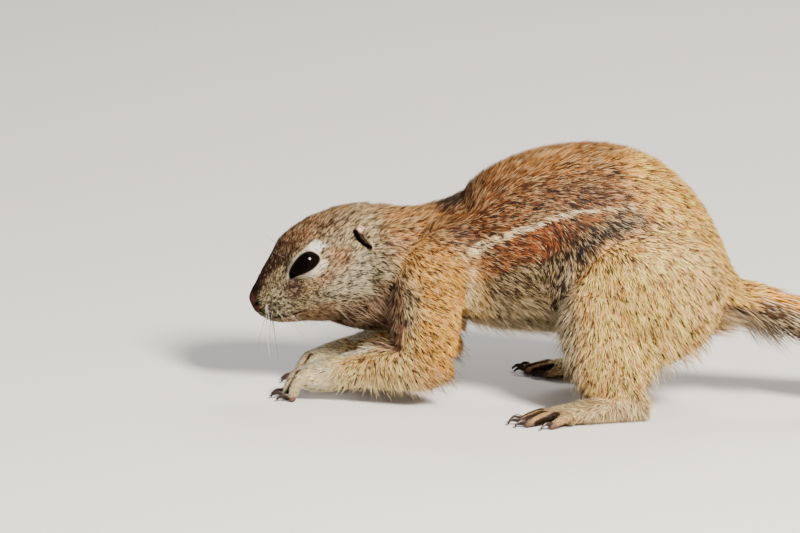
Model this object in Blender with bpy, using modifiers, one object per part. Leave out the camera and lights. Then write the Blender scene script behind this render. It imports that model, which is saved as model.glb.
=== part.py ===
"""A life-size Cape ground squirrel, digging on all fours, as a still museum model.

+Z is up, the head points to -X, and the animal's left side is towards -Y.
Lengths in the tables are millimetres, and every mesh is made in metres. The body and the head
are lofted forms that a voxel remesh joins and smooths. Thin cuts then part them into the pieces
that a person would name. Paws and feet are made finer and meet the limbs at a cut.
"""

import math

import bmesh
import bpy
from mathutils import Matrix, Vector

MM = 0.001

# --- sizes of the animal -----------------------------------------------------------------

GAP = 0.3  # width of the cut between two neighbouring pieces

NOSE_TIP = (-99.8, 0.0, 36.5)
HEAD_PITCH = math.radians(35)  # how far the muzzle points below level

# The head's sections in its own axes, along it and up it from the nose tip:
# top (along, up), bottom (along, up), half width.
HEAD_SECTIONS = [
    (0.6, 0.6, 0.1, -4.4, 2.8),
    (2.4, 2.5, 1.3, -7.4, 4.9),
    (6.0, 4.6, 3.8, -11.8, 7.2),
    (12.0, 8.2, 8.8, -16.0, 9.6),
    (18.3, 11.7, 15.5, -19.9, 12.2),
    (24.0, 14.8, 22.5, -24.2, 14.6),
    (30.6, 15.9, 30.0, -28.0, 17.0),
    (37.6, 15.7, 37.5, -30.2, 18.4),
    (45.0, 14.4, 45.0, -30.5, 18.8),
    (52.5, 12.1, 52.0, -28.5, 18.2),
    (59.4, 8.8, 58.0, -25.5, 16.5),
]
HEAD_EGG = 0.16  # how much narrower the skull is at the crown than at the cheeks

EYE_RADIUS = 7.1
EYE_ALONG, EYE_UP, EYE_OUT = 28.9, 2.1, 10.0  # the eyeball's centre in the head's axes

# The ear is a low crescent behind its slit: along the head, up, out, half width, half height.
EAR_RIDGE = [
    (52.9, 5.8, 11.6, 1.4, 1.4),
    (54.6, 3.4, 14.0, 1.8, 2.1),
    (56.1, -1.2, 16.6, 1.9, 2.3),
    (56.2, -5.6, 18.0, 1.8, 2.1),
    (54.8, -8.8, 17.8, 1.5, 1.5),
]

# Sections of neck and trunk: top (x, z), bottom (x, z), half width.
NECK_SECTIONS = [
    (-70.0, 70.0, -76.0, 31.5, 8.0),
    (-61.0, 76.6, -64.0, 27.2, 13.0),
    (-50.0, 78.4, -52.0, 25.6, 16.8),
    (-40.0, 77.6, -38.0, 26.4, 19.4),
    (-30.0, 78.8, -26.0, 28.8, 21.6),
    (-19.0, 82.6, -13.0, 31.0, 23.0),
    (-8.0, 89.0, -2.0, 32.0, 22.0),
]
TRUNK_SECTIONS = [
    (-25.0, 77.0, -22.0, 34.0, 20.0),
    (-18.0, 82.4, -13.0, 31.0, 23.6),
    (-10.0, 91.2, -4.0, 28.8, 26.2),
    (0.5, 98.0, 4.0, 27.8, 28.0),
    (15.0, 103.7, 14.0, 27.4, 29.6),
    (32.0, 106.2, 30.0, 27.2, 30.6),
    (47.0, 105.2, 45.0, 27.8, 31.0),
    (60.6, 100.2, 58.0, 28.2, 30.6),
    (72.4, 90.8, 69.0, 28.8, 29.0),
    (80.6, 80.6, 77.5, 30.4, 26.4),
    (87.2, 68.4, 85.0, 33.0, 22.4),
    (92.2, 58.2, 91.0, 36.2, 17.4),
    (97.5, 51.8, 97.0, 37.6, 12.0),
    (104.0, 49.4, 103.6, 36.2, 9.4),
]
TRUNK_EGG = 0.10

# The tail with its brush of hair, wider than it is deep; its end lies on the floor.
# Tail and limb sections: x, y, z of the centre, half width, half height.
TAIL_STATIONS = [
    (86.0, 0.0, 48.0, 8.0, 8.0),
    (98.0, 0.2, 44.6, 8.6, 7.6),
    (108.0, 0.6, 41.4, 10.2, 8.6),
    (122.0, 1.6, 36.2, 13.6, 10.4),
    (146.0, 3.6, 27.0, 17.6, 11.2),
    (172.0, 6.4, 18.6, 20.0, 11.4),
    (200.0, 9.4, 12.8, 20.8, 11.4),
    (228.0, 12.0, 10.6, 20.4, 11.2),
    (254.0, 13.8, 10.3, 18.4, 10.6),
    (280.0, 15.0, 9.6, 12.6, 8.2),
    (292.0, 15.5, 9.0, 6.0, 4.8),
    (297.0, 15.7, 8.8, 1.5, 1.3),
]
TAIL_CUTS_X = (98.5, 163.0, 231.0, 330.0)

# Limbs are given for the left side, y negative; the right side mirrors them.
SHOULDER_CENTRE, SHOULDER_RADII = (-19.0, -14.0, 57.0), (19.0, 13.5, 20.0)
UPPER_ARM_STATIONS = [
    (-24.0, -13.0, 66.0, 7.0, 9.0),
    (-27.0, -17.0, 57.0, 9.0, 14.0),
    (-29.5, -20.5, 44.0, 8.8, 15.2),
    (-29.2, -23.0, 32.0, 8.2, 14.4),
    (-26.5, -24.5, 22.0, 7.6, 11.0),
]
FOREARM_STATIONS = [
    (-20.5, -24.5, 21.5, 6.6, 8.0),
    (-30.0, -24.0, 18.4, 7.8, 11.2),
    (-41.0, -22.3, 17.2, 7.4, 10.2),
    (-51.0, -20.0, 15.4, 6.4, 8.8),
    (-60.0, -17.6, 13.0, 6.0, 7.4),
    (-67.0, -16.2, 11.0, 6.4, 7.0),
    (-73.0, -15.2, 9.4, 6.8, 6.0),
    (-76.5, -14.8, 8.8, 6.0, 4.6),
]
HAUNCH_CENTRE, HAUNCH_RADII = (57.5, -22.5, 50.0), (33.0, 16.5, 29.0)
THIGH_STATIONS = [
    (76.0, -13.0, 62.0, 13.0, 18.0),
    (66.0, -18.5, 58.0, 14.5, 22.0),
    (54.5, -23.0, 53.5, 14.5, 22.0),
    (44.0, -26.0, 47.5, 12.5, 19.0),
    (38.0, -28.5, 40.0, 10.0, 14.5),
]
CALF_STATIONS = [
    (78.0, -16.0, 48.0, 11.5, 14.0),
    (68.0, -22.0, 41.0, 12.0, 15.0),
    (58.0, -26.5, 31.5, 10.5, 13.0),
    (51.0, -29.0, 21.0, 8.0, 9.0),
]
SHANK_STATIONS = [
    (38.0, -28.5, 50.0, 10.0, 13.0),
    (38.5, -30.0, 38.0, 9.8, 15.0),
    (42.5, -31.0, 27.0, 9.2, 15.6),
    (46.0, -31.5, 17.0, 8.0, 14.0),
    (49.0, -31.5, 8.5, 6.4, 9.6),
    (51.5, -31.5, 4.0, 5.2, 7.0),
]
RIGHT_FORE_SHIFT, RIGHT_HIND_SHIFT = 3.5, 2.5  # the right limbs stand this much further back

# A digit starts in its foot's axes (forward, aside), turns aside by some degrees, and runs on
# for a length. Its arch gives the height of its centre at shares of that length.
FOREPAW_ORIGIN, FOREPAW_TURN = (-74.0, -15.0), math.radians(-4)
FOREPAW_DIGITS = [
    (-0.6, -4.5, -12, 7.4),
    (0.8, -1.5, -4, 8.8),
    (0.8, 1.5, 4, 8.6),
    (-0.4, 4.5, 13, 7.2),
]
FOREPAW_ARCH = [(0.0, 10.2), (0.42, 10.6), (0.80, 6.4), (1.0, 1.2)]
FOREPAW_RADII = (2.3, 2.2, 1.9, 1.5)
HINDFOOT_ORIGIN, HINDFOOT_TURN = (54.5, -31.5), math.radians(22)
SOLE_STATIONS = [
    (-5.5, 4.2, 4.2, 4.4),
    (0.5, 5.2, 5.6, 6.0),
    (10.0, 5.0, 5.8, 5.9),
    (22.0, 4.2, 6.6, 4.9),
    (31.0, 3.5, 7.2, 4.2),
    (35.5, 3.1, 6.9, 3.6),
]
HINDFOOT_DIGITS = [
    (25.0, -5.7, -15, 11.0),
    (31.5, -4.4, -7, 13.5),
    (33.0, -1.4, -2, 14.5),
    (32.5, 1.8, 4, 14.0),
    (27.0, 5.5, 14, 11.5),
]
HINDFOOT_ARCH = [(0.0, 3.4), (0.4, 4.0), (0.75, 2.7), (1.0, 1.2)]
HINDFOOT_RADII = (2.2, 2.1, 1.9, 1.5)
CLAW_LENGTH, CLAW_ROOT_RADIUS, CLAW_TIP_RADIUS = 4.6, 0.95, 0.3

# Where the pieces part. An outline is a border in the side view, as x, z.
WRIST_X, ANKLE_Z = -60.0, 11.0
HEAD_OUTLINE = [(-120.0, 22.5), (-47.5, 22.5), (-47.0, 44.0), (-55.0, 100.0), (-120.0, 100.0)]
EAR_OUTLINE = [  # along the head and up it
    (51.2, 6.8), (52.0, 1.4), (53.4, -3.4), (52.6, -9.6), (55.6, -11.2), (58.4, -6.4),
    (58.4, -0.8), (56.6, 4.6), (54.0, 7.6),
]
NECK_OUTLINE = [(-76.0, 22.5), (-23.0, 22.5), (-26.0, 100.0), (-76.0, 100.0)]
TRUNK_OUTLINE = [(-40.0, 20.0), (98.35, 20.0), (98.35, 120.0), (-40.0, 120.0)]
UPPER_ARM_OUTLINE = [
    (-45.4, 29.8), (-32.0, 20.5), (-19.0, 1.0), (-7.0, 2.0), (-11.0, 25.0), (-12.0, 44.0),
    (-16.5, 56.0), (-25.5, 63.0), (-35.0, 61.5), (-42.0, 54.0), (-45.5, 43.0),
]
FOREARM_OUTLINE = [(-59.85, 2.0), (-10.0, 2.0), (-30.0, 28.8), (-46.0, 28.8), (-59.85, 23.0)]
SHANK_OUTLINE = [(80.0, 11.15), (64.0, 21.0), (30.0, 37.5), (23.5, 36.0), (24.0, 24.0), (30.0, 11.15)]

# How finely each form is meshed: voxel, smoothing passes, share of the faces kept.
BODY_MESH = (1.3, 8, 0.0136)
HEAD_MESH = (0.8, 10, 0.020)
FOREPAW_MESH = (0.45, 4, 0.0145)
HINDFOOT_MESH = (0.5, 4, 0.0135)
LOFT_SIDES, LOFT_STEPS = 24, 4

COLOURS = {
    "coat": ((0.50, 0.30, 0.13), 0.85),
    "pale_coat": ((0.62, 0.52, 0.33), 0.85),
    "tail_hair": ((0.40, 0.31, 0.20), 0.85),
    "eye": ((0.01, 0.008, 0.007), 0.08),
    "claw": ((0.07, 0.05, 0.04), 0.4),
}


# --- tools -------------------------------------------------------------------------------


def clear_scene():
    for obj in list(bpy.data.objects):
        bpy.data.objects.remove(obj, do_unlink=True)


def new_collection(name):
    made = bpy.data.collections.new(name)
    bpy.context.scene.collection.children.link(made)
    return made


def material(name):
    """The named coat, eye or claw finish, made on first use."""
    found = bpy.data.materials.get(name)
    if found:
        return found
    colour, roughness = COLOURS[name]
    made = bpy.data.materials.new(name)
    made.use_nodes = True
    shader = made.node_tree.nodes["Principled BSDF"]
    shader.inputs["Base Color"].default_value = (*colour, 1.0)
    shader.inputs["Roughness"].default_value = roughness
    shader.inputs["Metallic"].default_value = 0.0
    made.diffuse_color = (*colour, 1.0)
    return made


def object_from(form, name, collection, finish=None):
    """A bmesh as an object. One without a finish is a helper, left out of the model."""
    mesh = bpy.data.meshes.new(name)
    form.to_mesh(mesh)
    form.free()
    obj = bpy.data.objects.new(name, mesh)
    collection.objects.link(obj)
    if finish:
        mesh.materials.append(material(finish))
        mesh.shade_smooth()
    else:
        obj.hide_render = True
        obj.display_type = "WIRE"
    return obj


def interpolated(rows, steps):
    """Rows of numbers on a Catmull-Rom spline through the given ones."""
    rows = [Vector(row) for row in rows]
    rows = [2 * rows[0] - rows[1], *rows, 2 * rows[-1] - rows[-2]]
    found = []
    for i in range(1, len(rows) - 2):
        before, here, after, beyond = rows[i - 1 : i + 3]
        for step in range(steps):
            t = step / steps
            bend = 2 * before - 5 * here + 4 * after - beyond
            twist = 3 * here - before - 3 * after + beyond
            found.append((2 * here + (after - before) * t + bend * t**2 + twist * t**3) / 2)
    found.append(rows[-2])
    return found


def add_tube(form, sections, egg=0.0, sides=LOFT_SIDES):
    """Adds a closed tube to a bmesh, through sections given as centre, aside and upward.

    egg narrows the upper half of every section by that share and widens the lower.
    """
    rings = []
    for centre, aside, upward in sections:
        ring = []
        for k in range(sides):
            angle = 2 * math.pi * k / sides
            across = math.cos(angle) * (1 - egg * math.sin(angle))
            ring.append(form.verts.new((centre + aside * across + upward * math.sin(angle)) * MM))
        rings.append(ring)
    for ring, following in zip(rings, rings[1:]):
        for k in range(sides):
            after = (k + 1) % sides
            form.faces.new((ring[k], ring[after], following[after], following[k]))
    form.faces.new(reversed(rings[0]))
    form.faces.new(rings[-1])


def add_profile(form, sections, egg=0.0, steps=LOFT_STEPS):
    """Adds a tube on the body's midline between a top line and a bottom line."""
    found = []
    for top_x, top_z, bottom_x, bottom_z, half_width in interpolated(sections, steps):
        top, bottom = Vector((top_x, 0, top_z)), Vector((bottom_x, 0, bottom_z))
        found.append(((top + bottom) / 2, Vector((0, half_width, 0)), (top - bottom) / 2))
    add_tube(form, found, egg)


def add_limb(form, stations, sides=LOFT_SIDES, steps=LOFT_STEPS):
    """Adds a tube whose sections stand square to the path of their centres."""
    rows = interpolated(stations, steps)
    centres = [Vector(row[:3]) for row in rows]
    found = []
    for i, row in enumerate(rows):
        along = (centres[min(i + 1, len(rows) - 1)] - centres[max(i - 1, 0)]).normalized()
        aside = (Vector((0, 1, 0)) - along * along.y).normalized()
        found.append((centres[i], aside * row[3], along.cross(aside) * row[4]))
    add_tube(form, found, sides=sides)


def add_ball(form, centre, radii, segments=16, rings=10):
    """Adds a ball, or an ellipsoid where the three radii differ."""
    placed = Matrix.Translation(Vector(centre) * MM) @ Matrix.Diagonal((*radii, 1.0))
    bmesh.ops.create_uvsphere(form, u_segments=segments, v_segments=rings, radius=MM, matrix=placed)


def fused(form, name, collection, fineness):
    """One smooth closed mesh round all the overlapping tubes in a bmesh."""
    voxel, passes, kept = fineness
    bmesh.ops.recalc_face_normals(form, faces=form.faces)
    obj = object_from(form, name, collection)
    remesh = obj.modifiers.new("join", "REMESH")
    remesh.mode = "VOXEL"
    remesh.voxel_size = voxel * MM
    soften = obj.modifiers.new("soften", "SMOOTH")
    soften.factor = 0.5
    soften.iterations = passes
    thin_out = obj.modifiers.new("thin_out", "DECIMATE")
    thin_out.ratio = kept
    graph = bpy.context.evaluated_depsgraph_get()
    result = bpy.data.meshes.new_from_object(obj.evaluated_get(graph))
    obj.modifiers.clear()
    obj.data = result
    return obj


def grown_outline(outline, distance):
    """A closed outline, given anticlockwise, moved outwards by a distance."""
    found = []
    for i, corner in enumerate(outline):
        here = Vector(corner)
        arriving = (here - Vector(outline[i - 1])).normalized()
        leaving = (Vector(outline[(i + 1) % len(outline)]) - here).normalized()
        out_a, out_b = Vector((arriving.y, -arriving.x)), Vector((leaving.y, -leaving.x))
        found.append(here + (out_a + out_b) * distance / (1 + out_a.dot(out_b)))
    return found


def prism(name, helpers, outline, y_range, grow=0.0, shift=0.0):
    """A region with an outline in the side view, between two values of y."""
    form = bmesh.new()
    low, high = min(y_range) - grow, max(y_range) + grow
    walls = []
    for y in (low, high):
        corners = grown_outline(outline, grow)
        walls.append([form.verts.new(Vector((x + shift, y, z)) * MM) for x, z in corners])
    count = len(outline)
    for k in range(count):
        after = (k + 1) % count
        form.faces.new((walls[0][k], walls[0][after], walls[1][after], walls[1][k]))
    form.faces.new(walls[0])
    form.faces.new(reversed(walls[1]))
    bmesh.ops.recalc_face_normals(form, faces=form.faces)
    return object_from(form, name, helpers)


def ellipsoid(name, helpers, centre, radii, grow=0.0, segments=20, rings=12):
    """A rounded region."""
    form = bmesh.new()
    add_ball(form, centre, [radius + grow for radius in radii], segments, rings)
    return object_from(form, name, helpers)


def rounded(outline, steps=3):
    """A closed outline with its corners eased by a spline through them."""
    count = len(outline)
    around = [outline[i % count] for i in range(-1, count + 2)]
    return [tuple(point) for point in interpolated(around, steps)[steps : (count + 1) * steps]]


def block(name, helpers, low, high):
    """A box between two corners."""
    outline = [(low[0], low[2]), (high[0], low[2]), (high[0], high[2]), (low[0], high[2])]
    return prism(name, helpers, outline, (low[1], high[1]))


# --- the forms ---------------------------------------------------------------------------


def head_point(along, up, out=0.0):
    """A place in the head's own axes as x, y, z."""
    cos, sin = math.cos(HEAD_PITCH), math.sin(HEAD_PITCH)
    x = NOSE_TIP[0] + cos * along - sin * up
    z = NOSE_TIP[2] + sin * along + cos * up
    return (x, out, z)


def on_side(stations, side, shift):
    """Left-side stations moved to the side -1 (left) or 1 (right), the right one set back."""
    moved = shift if side > 0 else 0.0
    return [(row[0] + moved, -side * row[1], *row[2:]) for row in stations]


def add_head_and_neck(form):
    sections = []
    for top_along, top_up, bottom_along, bottom_up, half_width in HEAD_SECTIONS:
        top, bottom = head_point(top_along, top_up), head_point(bottom_along, bottom_up)
        sections.append((top[0], top[2], bottom[0], bottom[2], half_width))
    add_profile(form, sections, HEAD_EGG)
    add_profile(form, NECK_SECTIONS, TRUNK_EGG)
    for side in (-1, 1):
        ridge = []
        for along, up, out, half_width, half_height in EAR_RIDGE:
            ridge.append((*head_point(along, up, side * out), half_width, half_height))
        add_limb(form, ridge)


def body_form(helpers):
    """The whole animal but for its digits, as one mesh."""
    form = bmesh.new()
    add_head_and_neck(form)
    add_profile(form, TRUNK_SECTIONS, TRUNK_EGG)
    add_limb(form, TAIL_STATIONS)
    for side in (-1, 1):
        for stations in (UPPER_ARM_STATIONS, FOREARM_STATIONS):
            add_limb(form, on_side(stations, side, RIGHT_FORE_SHIFT))
        for stations in (THIGH_STATIONS, CALF_STATIONS, SHANK_STATIONS):
            add_limb(form, on_side(stations, side, RIGHT_HIND_SHIFT))
        shoulder = on_side([SHOULDER_CENTRE], side, RIGHT_FORE_SHIFT)[0]
        add_ball(form, shoulder, SHOULDER_RADII, 32, 20)
        haunch = on_side([HAUNCH_CENTRE], side, RIGHT_HIND_SHIFT)[0]
        add_ball(form, haunch, HAUNCH_RADII, 32, 20)
    return fused(form, "body_form", helpers, BODY_MESH)


def head_form(helpers):
    """The head with the front of the neck, finer than in the whole body."""
    form = bmesh.new()
    add_head_and_neck(form)
    return fused(form, "head_form", helpers, HEAD_MESH)


def foot_axes(origin, turn, side, shift):
    """A function from (forward, aside, up) in a left foot's axes to x, y, z on that side."""
    cos, sin = math.cos(turn), math.sin(turn)
    moved = shift if side > 0 else 0.0

    def place(forward, aside, up):
        x = origin[0] - cos * forward + sin * aside
        y = origin[1] - sin * forward - cos * aside
        return Vector((x + moved, -side * y, up))

    return place


def digit_path(place, digit, arch):
    """The centres along one digit."""
    forward, aside, turn, length = digit
    heading = math.radians(turn)
    found = []
    for share, up in arch:
        reach = share * length
        ahead = forward + reach * math.cos(heading)
        found.append(place(ahead, aside + reach * math.sin(heading), up))
    return found


def foot_form(name, helpers, limb, sole, paths, radii, fineness):
    """A paw or foot with the end of its limb, as one fine mesh."""
    form = bmesh.new()
    add_limb(form, limb)
    if sole:
        add_limb(form, sole)
    for path in paths:
        add_limb(form, [(*p, radius, radius) for p, radius in zip(path, radii)], sides=12)
        add_ball(form, path[-1], [radii[-1]] * 3)
    return fused(form, name, helpers, fineness)


def make_claw(name, parts, path, tip_radius):
    """A curved claw that leaves a digit's tip with a gap, and comes down towards the floor."""
    ahead = path[-1] - path[0]
    ahead.z = 0.0
    ahead.normalize()
    root = path[-1] + ahead * (tip_radius + GAP)
    root.z += 0.8
    stations = []
    for share in (0.0, 0.5, 1.0):
        centre = root + ahead * CLAW_LENGTH * share
        centre.z += 0.7 * math.sin(math.pi * share) - 1.2 * share**2
        radius = CLAW_ROOT_RADIUS + (CLAW_TIP_RADIUS - CLAW_ROOT_RADIUS) * share
        stations.append((*centre, radius * 0.8, radius))
    form = bmesh.new()
    add_limb(form, stations, sides=6, steps=1)
    bmesh.ops.recalc_face_normals(form, faces=form.faces)
    return object_from(form, name, parts, "claw")


# --- the pieces ----------------------------------------------------------------------------


def taken(name, parts, form, keep, cuts, finish):
    """The piece of a form inside keep, less every cut, as one named object."""
    obj = bpy.data.objects.new(name, form.data.copy())
    parts.objects.link(obj)
    obj.data.materials.clear()
    obj.data.materials.append(material(finish))
    obj.data.shade_smooth()
    for operation, others in (("INTERSECT", [keep]), ("DIFFERENCE", cuts)):
        for other in others:
            step = obj.modifiers.new(other.name, "BOOLEAN")
            step.operation = operation
            step.object = other
    return obj


def side_regions(helpers, side, label, grow):
    """The regions of one side's ear, eye and limbs, grown by a gap to cut their neighbours."""
    tag = f"{label}_{'cut' if grow else 'keep'}"
    fore, hind = (RIGHT_FORE_SHIFT, RIGHT_HIND_SHIFT) if side > 0 else (0.0, 0.0)

    def outlined(name, outline, y_range, shift):
        sided = [side * y for y in y_range]
        return prism(f"{name}_{tag}", helpers, outline, sided, grow, shift)

    ear = [head_point(along, up)[::2] for along, up in rounded(EAR_OUTLINE)]
    eye = head_point(EYE_ALONG, EYE_UP, side * EYE_OUT)
    hip = (58.0 + hind, side * 40.0, 54.0)
    return {
        "ear": outlined("ear", ear, (12.2, 30.0), 0.0),
        "eye": ellipsoid(f"eye_{tag}", helpers, eye, [EYE_RADIUS] * 3, grow, 20, 12),
        "upper_arm": outlined("upper_arm", rounded(UPPER_ARM_OUTLINE), (14.0, 45.0), fore),
        "forearm": outlined("forearm", FOREARM_OUTLINE, (10.5, 45.0), fore),
        "thigh": ellipsoid(f"thigh_{tag}", helpers, hip, (40.0, 25.0, 34.0), grow),
        "shank": outlined("shank", SHANK_OUTLINE, (20.5, 48.0), hind),
    }


def make_body(parts, helpers):
    """Cuts the whole body into its named pieces and returns them."""
    body, head = body_form(helpers), head_form(helpers)
    sides = ((-1, "left"), (1, "right"))
    keep = {label: side_regions(helpers, side, label, 0.0) for side, label in sides}
    cut = {label: side_regions(helpers, side, label, GAP) for side, label in sides}

    def cuts(*names):
        return [cut[label][name] for _, label in sides for name in names]

    across = (-70.0, 70.0)
    head_keep = prism("head_keep", helpers, HEAD_OUTLINE, across)
    head_cut = prism("head_cut", helpers, HEAD_OUTLINE, across, GAP)
    neck_keep = prism("neck_keep", helpers, NECK_OUTLINE, across)
    neck_cut = prism("neck_cut", helpers, NECK_OUTLINE, across, GAP)
    trunk_keep = prism("trunk_keep", helpers, TRUNK_OUTLINE, across)
    arms = cuts("upper_arm", "forearm")
    made = [
        taken("head", parts, head, head_keep, cuts("ear", "eye"), "coat"),
        taken("neck", parts, body, neck_keep, [head_cut, *cuts("ear"), *arms], "coat"),
        taken("trunk", parts, body, trunk_keep, [neck_cut, *arms, *cuts("thigh", "shank")], "coat"),
    ]
    for _, label in sides:
        own, grown = keep[label], cut[label]
        made += [
            taken(f"ear_{label}", parts, head, own["ear"], [], "pale_coat"),
            taken(f"upper_arm_{label}", parts, body, own["upper_arm"], [], "coat"),
            taken(f"forearm_{label}", parts, body, own["forearm"], [grown["upper_arm"]], "pale_coat"),
            taken(f"thigh_{label}", parts, body, own["thigh"], [grown["shank"]], "coat"),
            taken(f"shank_{label}", parts, body, own["shank"], [], "pale_coat"),
        ]
    for name, start, end in zip(("tail_base", "tail_middle", "tail_end"), TAIL_CUTS_X, TAIL_CUTS_X[1:]):
        length = block(
            f"{name}_keep", helpers, (start + GAP / 2, -60.0, 0.0), (end - GAP / 2, 60.0, 110.0)
        )
        made.append(taken(name, parts, body, length, [], "tail_hair"))
    return made


def make_feet(parts, helpers):
    """Paws, hind feet and their claws, cut flat where they stand on the floor."""
    made = []
    for side, label in ((-1, "left"), (1, "right")):
        shift = RIGHT_FORE_SHIFT if side > 0 else 0.0
        place = foot_axes(FOREPAW_ORIGIN, FOREPAW_TURN, side, shift)
        paths = [digit_path(place, digit, FOREPAW_ARCH) for digit in FOREPAW_DIGITS]
        limb = on_side(FOREARM_STATIONS, side, RIGHT_FORE_SHIFT)
        form = foot_form(
            f"forepaw_form_{label}", helpers, limb, None, paths, FOREPAW_RADII, FOREPAW_MESH
        )
        reach = block(
            f"forepaw_keep_{label}", helpers,
            (-120.0, side * 15.0 - 20.0, 0.0), (WRIST_X + shift - GAP / 2, side * 15.0 + 20.0, 30.0),
        )
        made.append(taken(f"forepaw_{label}", parts, form, reach, [], "pale_coat"))
        for number, path in enumerate(paths, 1):
            made.append(make_claw(f"claw_fore_{label}_{number}", parts, path, FOREPAW_RADII[-1]))

        shift = RIGHT_HIND_SHIFT if side > 0 else 0.0
        place = foot_axes(HINDFOOT_ORIGIN, HINDFOOT_TURN, side, shift)
        paths = [digit_path(place, digit, HINDFOOT_ARCH) for digit in HINDFOOT_DIGITS]
        limb = on_side(SHANK_STATIONS, side, RIGHT_HIND_SHIFT)
        sole = [(*place(u, 0.0, up), width, height) for u, up, width, height in SOLE_STATIONS]
        form = foot_form(
            f"hindfoot_form_{label}", helpers, limb, sole, paths, HINDFOOT_RADII, HINDFOOT_MESH
        )
        reach = block(
            f"hindfoot_keep_{label}", helpers,
            (-10.0, side * 45.0 - 30.0, 0.0), (90.0, side * 45.0 + 30.0, ANKLE_Z - GAP / 2),
        )
        made.append(taken(f"hindfoot_{label}", parts, form, reach, [], "pale_coat"))
        for number, path in enumerate(paths, 1):
            made.append(make_claw(f"claw_hind_{label}_{number}", parts, path, HINDFOOT_RADII[-1]))
    return made


def make_eyes(parts):
    made = []
    for side, label in ((-1, "left"), (1, "right")):
        form = bmesh.new()
        add_ball(form, head_point(EYE_ALONG, EYE_UP, side * EYE_OUT), [EYE_RADIUS] * 3, 16, 10)
        made.append(object_from(form, f"eye_{label}", parts, "eye"))
    return made


def centre_on_floor(objects):
    """Moves the animal so that the origin is under the middle of its bounding box."""
    bpy.context.view_layer.update()
    graph = bpy.context.evaluated_depsgraph_get()
    corners = [Vector(c) for obj in objects for c in obj.evaluated_get(graph).bound_box]
    middle = [(min(c[i] for c in corners) + max(c[i] for c in corners)) / 2 for i in (0, 1)]
    for obj in bpy.data.objects:
        obj.location -= Vector((*middle, min(c.z for c in corners)))


def main():
    clear_scene()
    parts = new_collection("cape_ground_squirrel")
    helpers = new_collection("cutters")
    centre_on_floor(make_body(parts, helpers) + make_feet(parts, helpers) + make_eyes(parts))


main()
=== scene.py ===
"""The looks of the Cape ground squirrel: its skin, eyes, claws, coat and whiskers, and the stage.

Everything is made in the part's own axes, in millimetres: +Z up, the head to -X, the animal's
left side to -Y. put_in_row() then moves it into the frame. The skin is the part's lofted form
drawn in by the depth of the coat, and carries the lids, ears, nose and mouth. The coat is made
of closed tufts that start in the skin and lie as COMB and HEAD_COMB say.
"""

import math

import bmesh
import bpy
import numpy as np
from mathutils import Matrix, Vector
from mathutils.kdtree import KDTree


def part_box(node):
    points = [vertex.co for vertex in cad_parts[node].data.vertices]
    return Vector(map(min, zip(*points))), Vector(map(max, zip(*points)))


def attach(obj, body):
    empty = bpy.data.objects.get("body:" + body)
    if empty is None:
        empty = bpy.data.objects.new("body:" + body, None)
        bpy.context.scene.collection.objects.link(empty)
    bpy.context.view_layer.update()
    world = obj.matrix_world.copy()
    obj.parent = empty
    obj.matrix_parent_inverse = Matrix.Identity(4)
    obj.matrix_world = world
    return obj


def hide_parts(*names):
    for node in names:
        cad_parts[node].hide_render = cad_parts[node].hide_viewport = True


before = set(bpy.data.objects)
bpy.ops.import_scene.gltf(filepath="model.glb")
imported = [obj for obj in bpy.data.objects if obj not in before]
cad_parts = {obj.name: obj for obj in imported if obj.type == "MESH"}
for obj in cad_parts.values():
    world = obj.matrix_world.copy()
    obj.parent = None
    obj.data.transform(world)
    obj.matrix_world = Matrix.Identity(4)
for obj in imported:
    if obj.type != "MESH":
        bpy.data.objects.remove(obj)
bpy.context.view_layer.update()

MM = 0.001

# --- sizes shared with the part ---

NOSE_TIP = (-99.8, 0.0, 36.5)
HEAD_PITCH = math.radians(35)
HEAD_COS, HEAD_SIN = math.cos(HEAD_PITCH), math.sin(HEAD_PITCH)
HEAD_SECTIONS = [  # top (along, up), bottom (along, up), half width, coat depth
    (0.2, 0.6, -0.3, -4.5, 2.7, -0.2),
    (2.2, 2.6, 1.1, -7.4, 4.9, 0),
    (6, 4.8, 3.8, -11.8, 7.2, 0.2),
    (12, 8.4, 8.8, -16, 9.6, 0.4),
    (18.3, 11.8, 15.5, -19.9, 12.2, 0.6),
    (24, 14.8, 22.5, -24.2, 14.6, 0.7),
    (30.6, 15.9, 30, -28, 17, 0.8),
    (37.6, 15.7, 37.5, -30.2, 18.4, 0.9),
    (45, 14.4, 45, -30.5, 18.8, 1),
    (52.5, 12.1, 52, -28.5, 18.2, 1.1),
    (59.4, 8.8, 58, -25.5, 16.5, 1.2),
]
HEAD_EGG, TRUNK_EGG = 0.16, 0.10  # how far the widest line lies below the middle
EYE_RADIUS = 7.1
EYE_ALONG, EYE_UP, EYE_OUT = 28.9, 2.1, 10.0
EAR_RIDGE = [
    (52.9, 5.8, 8.6, 1.2, 1.2),
    (54.4, 3.4, 11.6, 1.4, 1.6),
    (56.1, -1.2, 16, 1.6, 2),
    (56.2, -5.6, 17.4, 1.5, 1.8),
    (54.8, -8.8, 17.2, 1.2, 1.2),
]
NECK_SECTIONS = [
    (-70, 70, -76, 31.5, 8),
    (-61, 76.6, -64, 27.2, 13),
    (-50, 78.4, -52, 25.6, 16.8),
    (-40, 77.6, -38, 26.4, 19.4),
    (-30, 78.8, -26, 28.8, 21.6),
    (-19, 82.6, -13, 31, 23),
    (-8, 89, -2, 32, 22),
]
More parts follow.
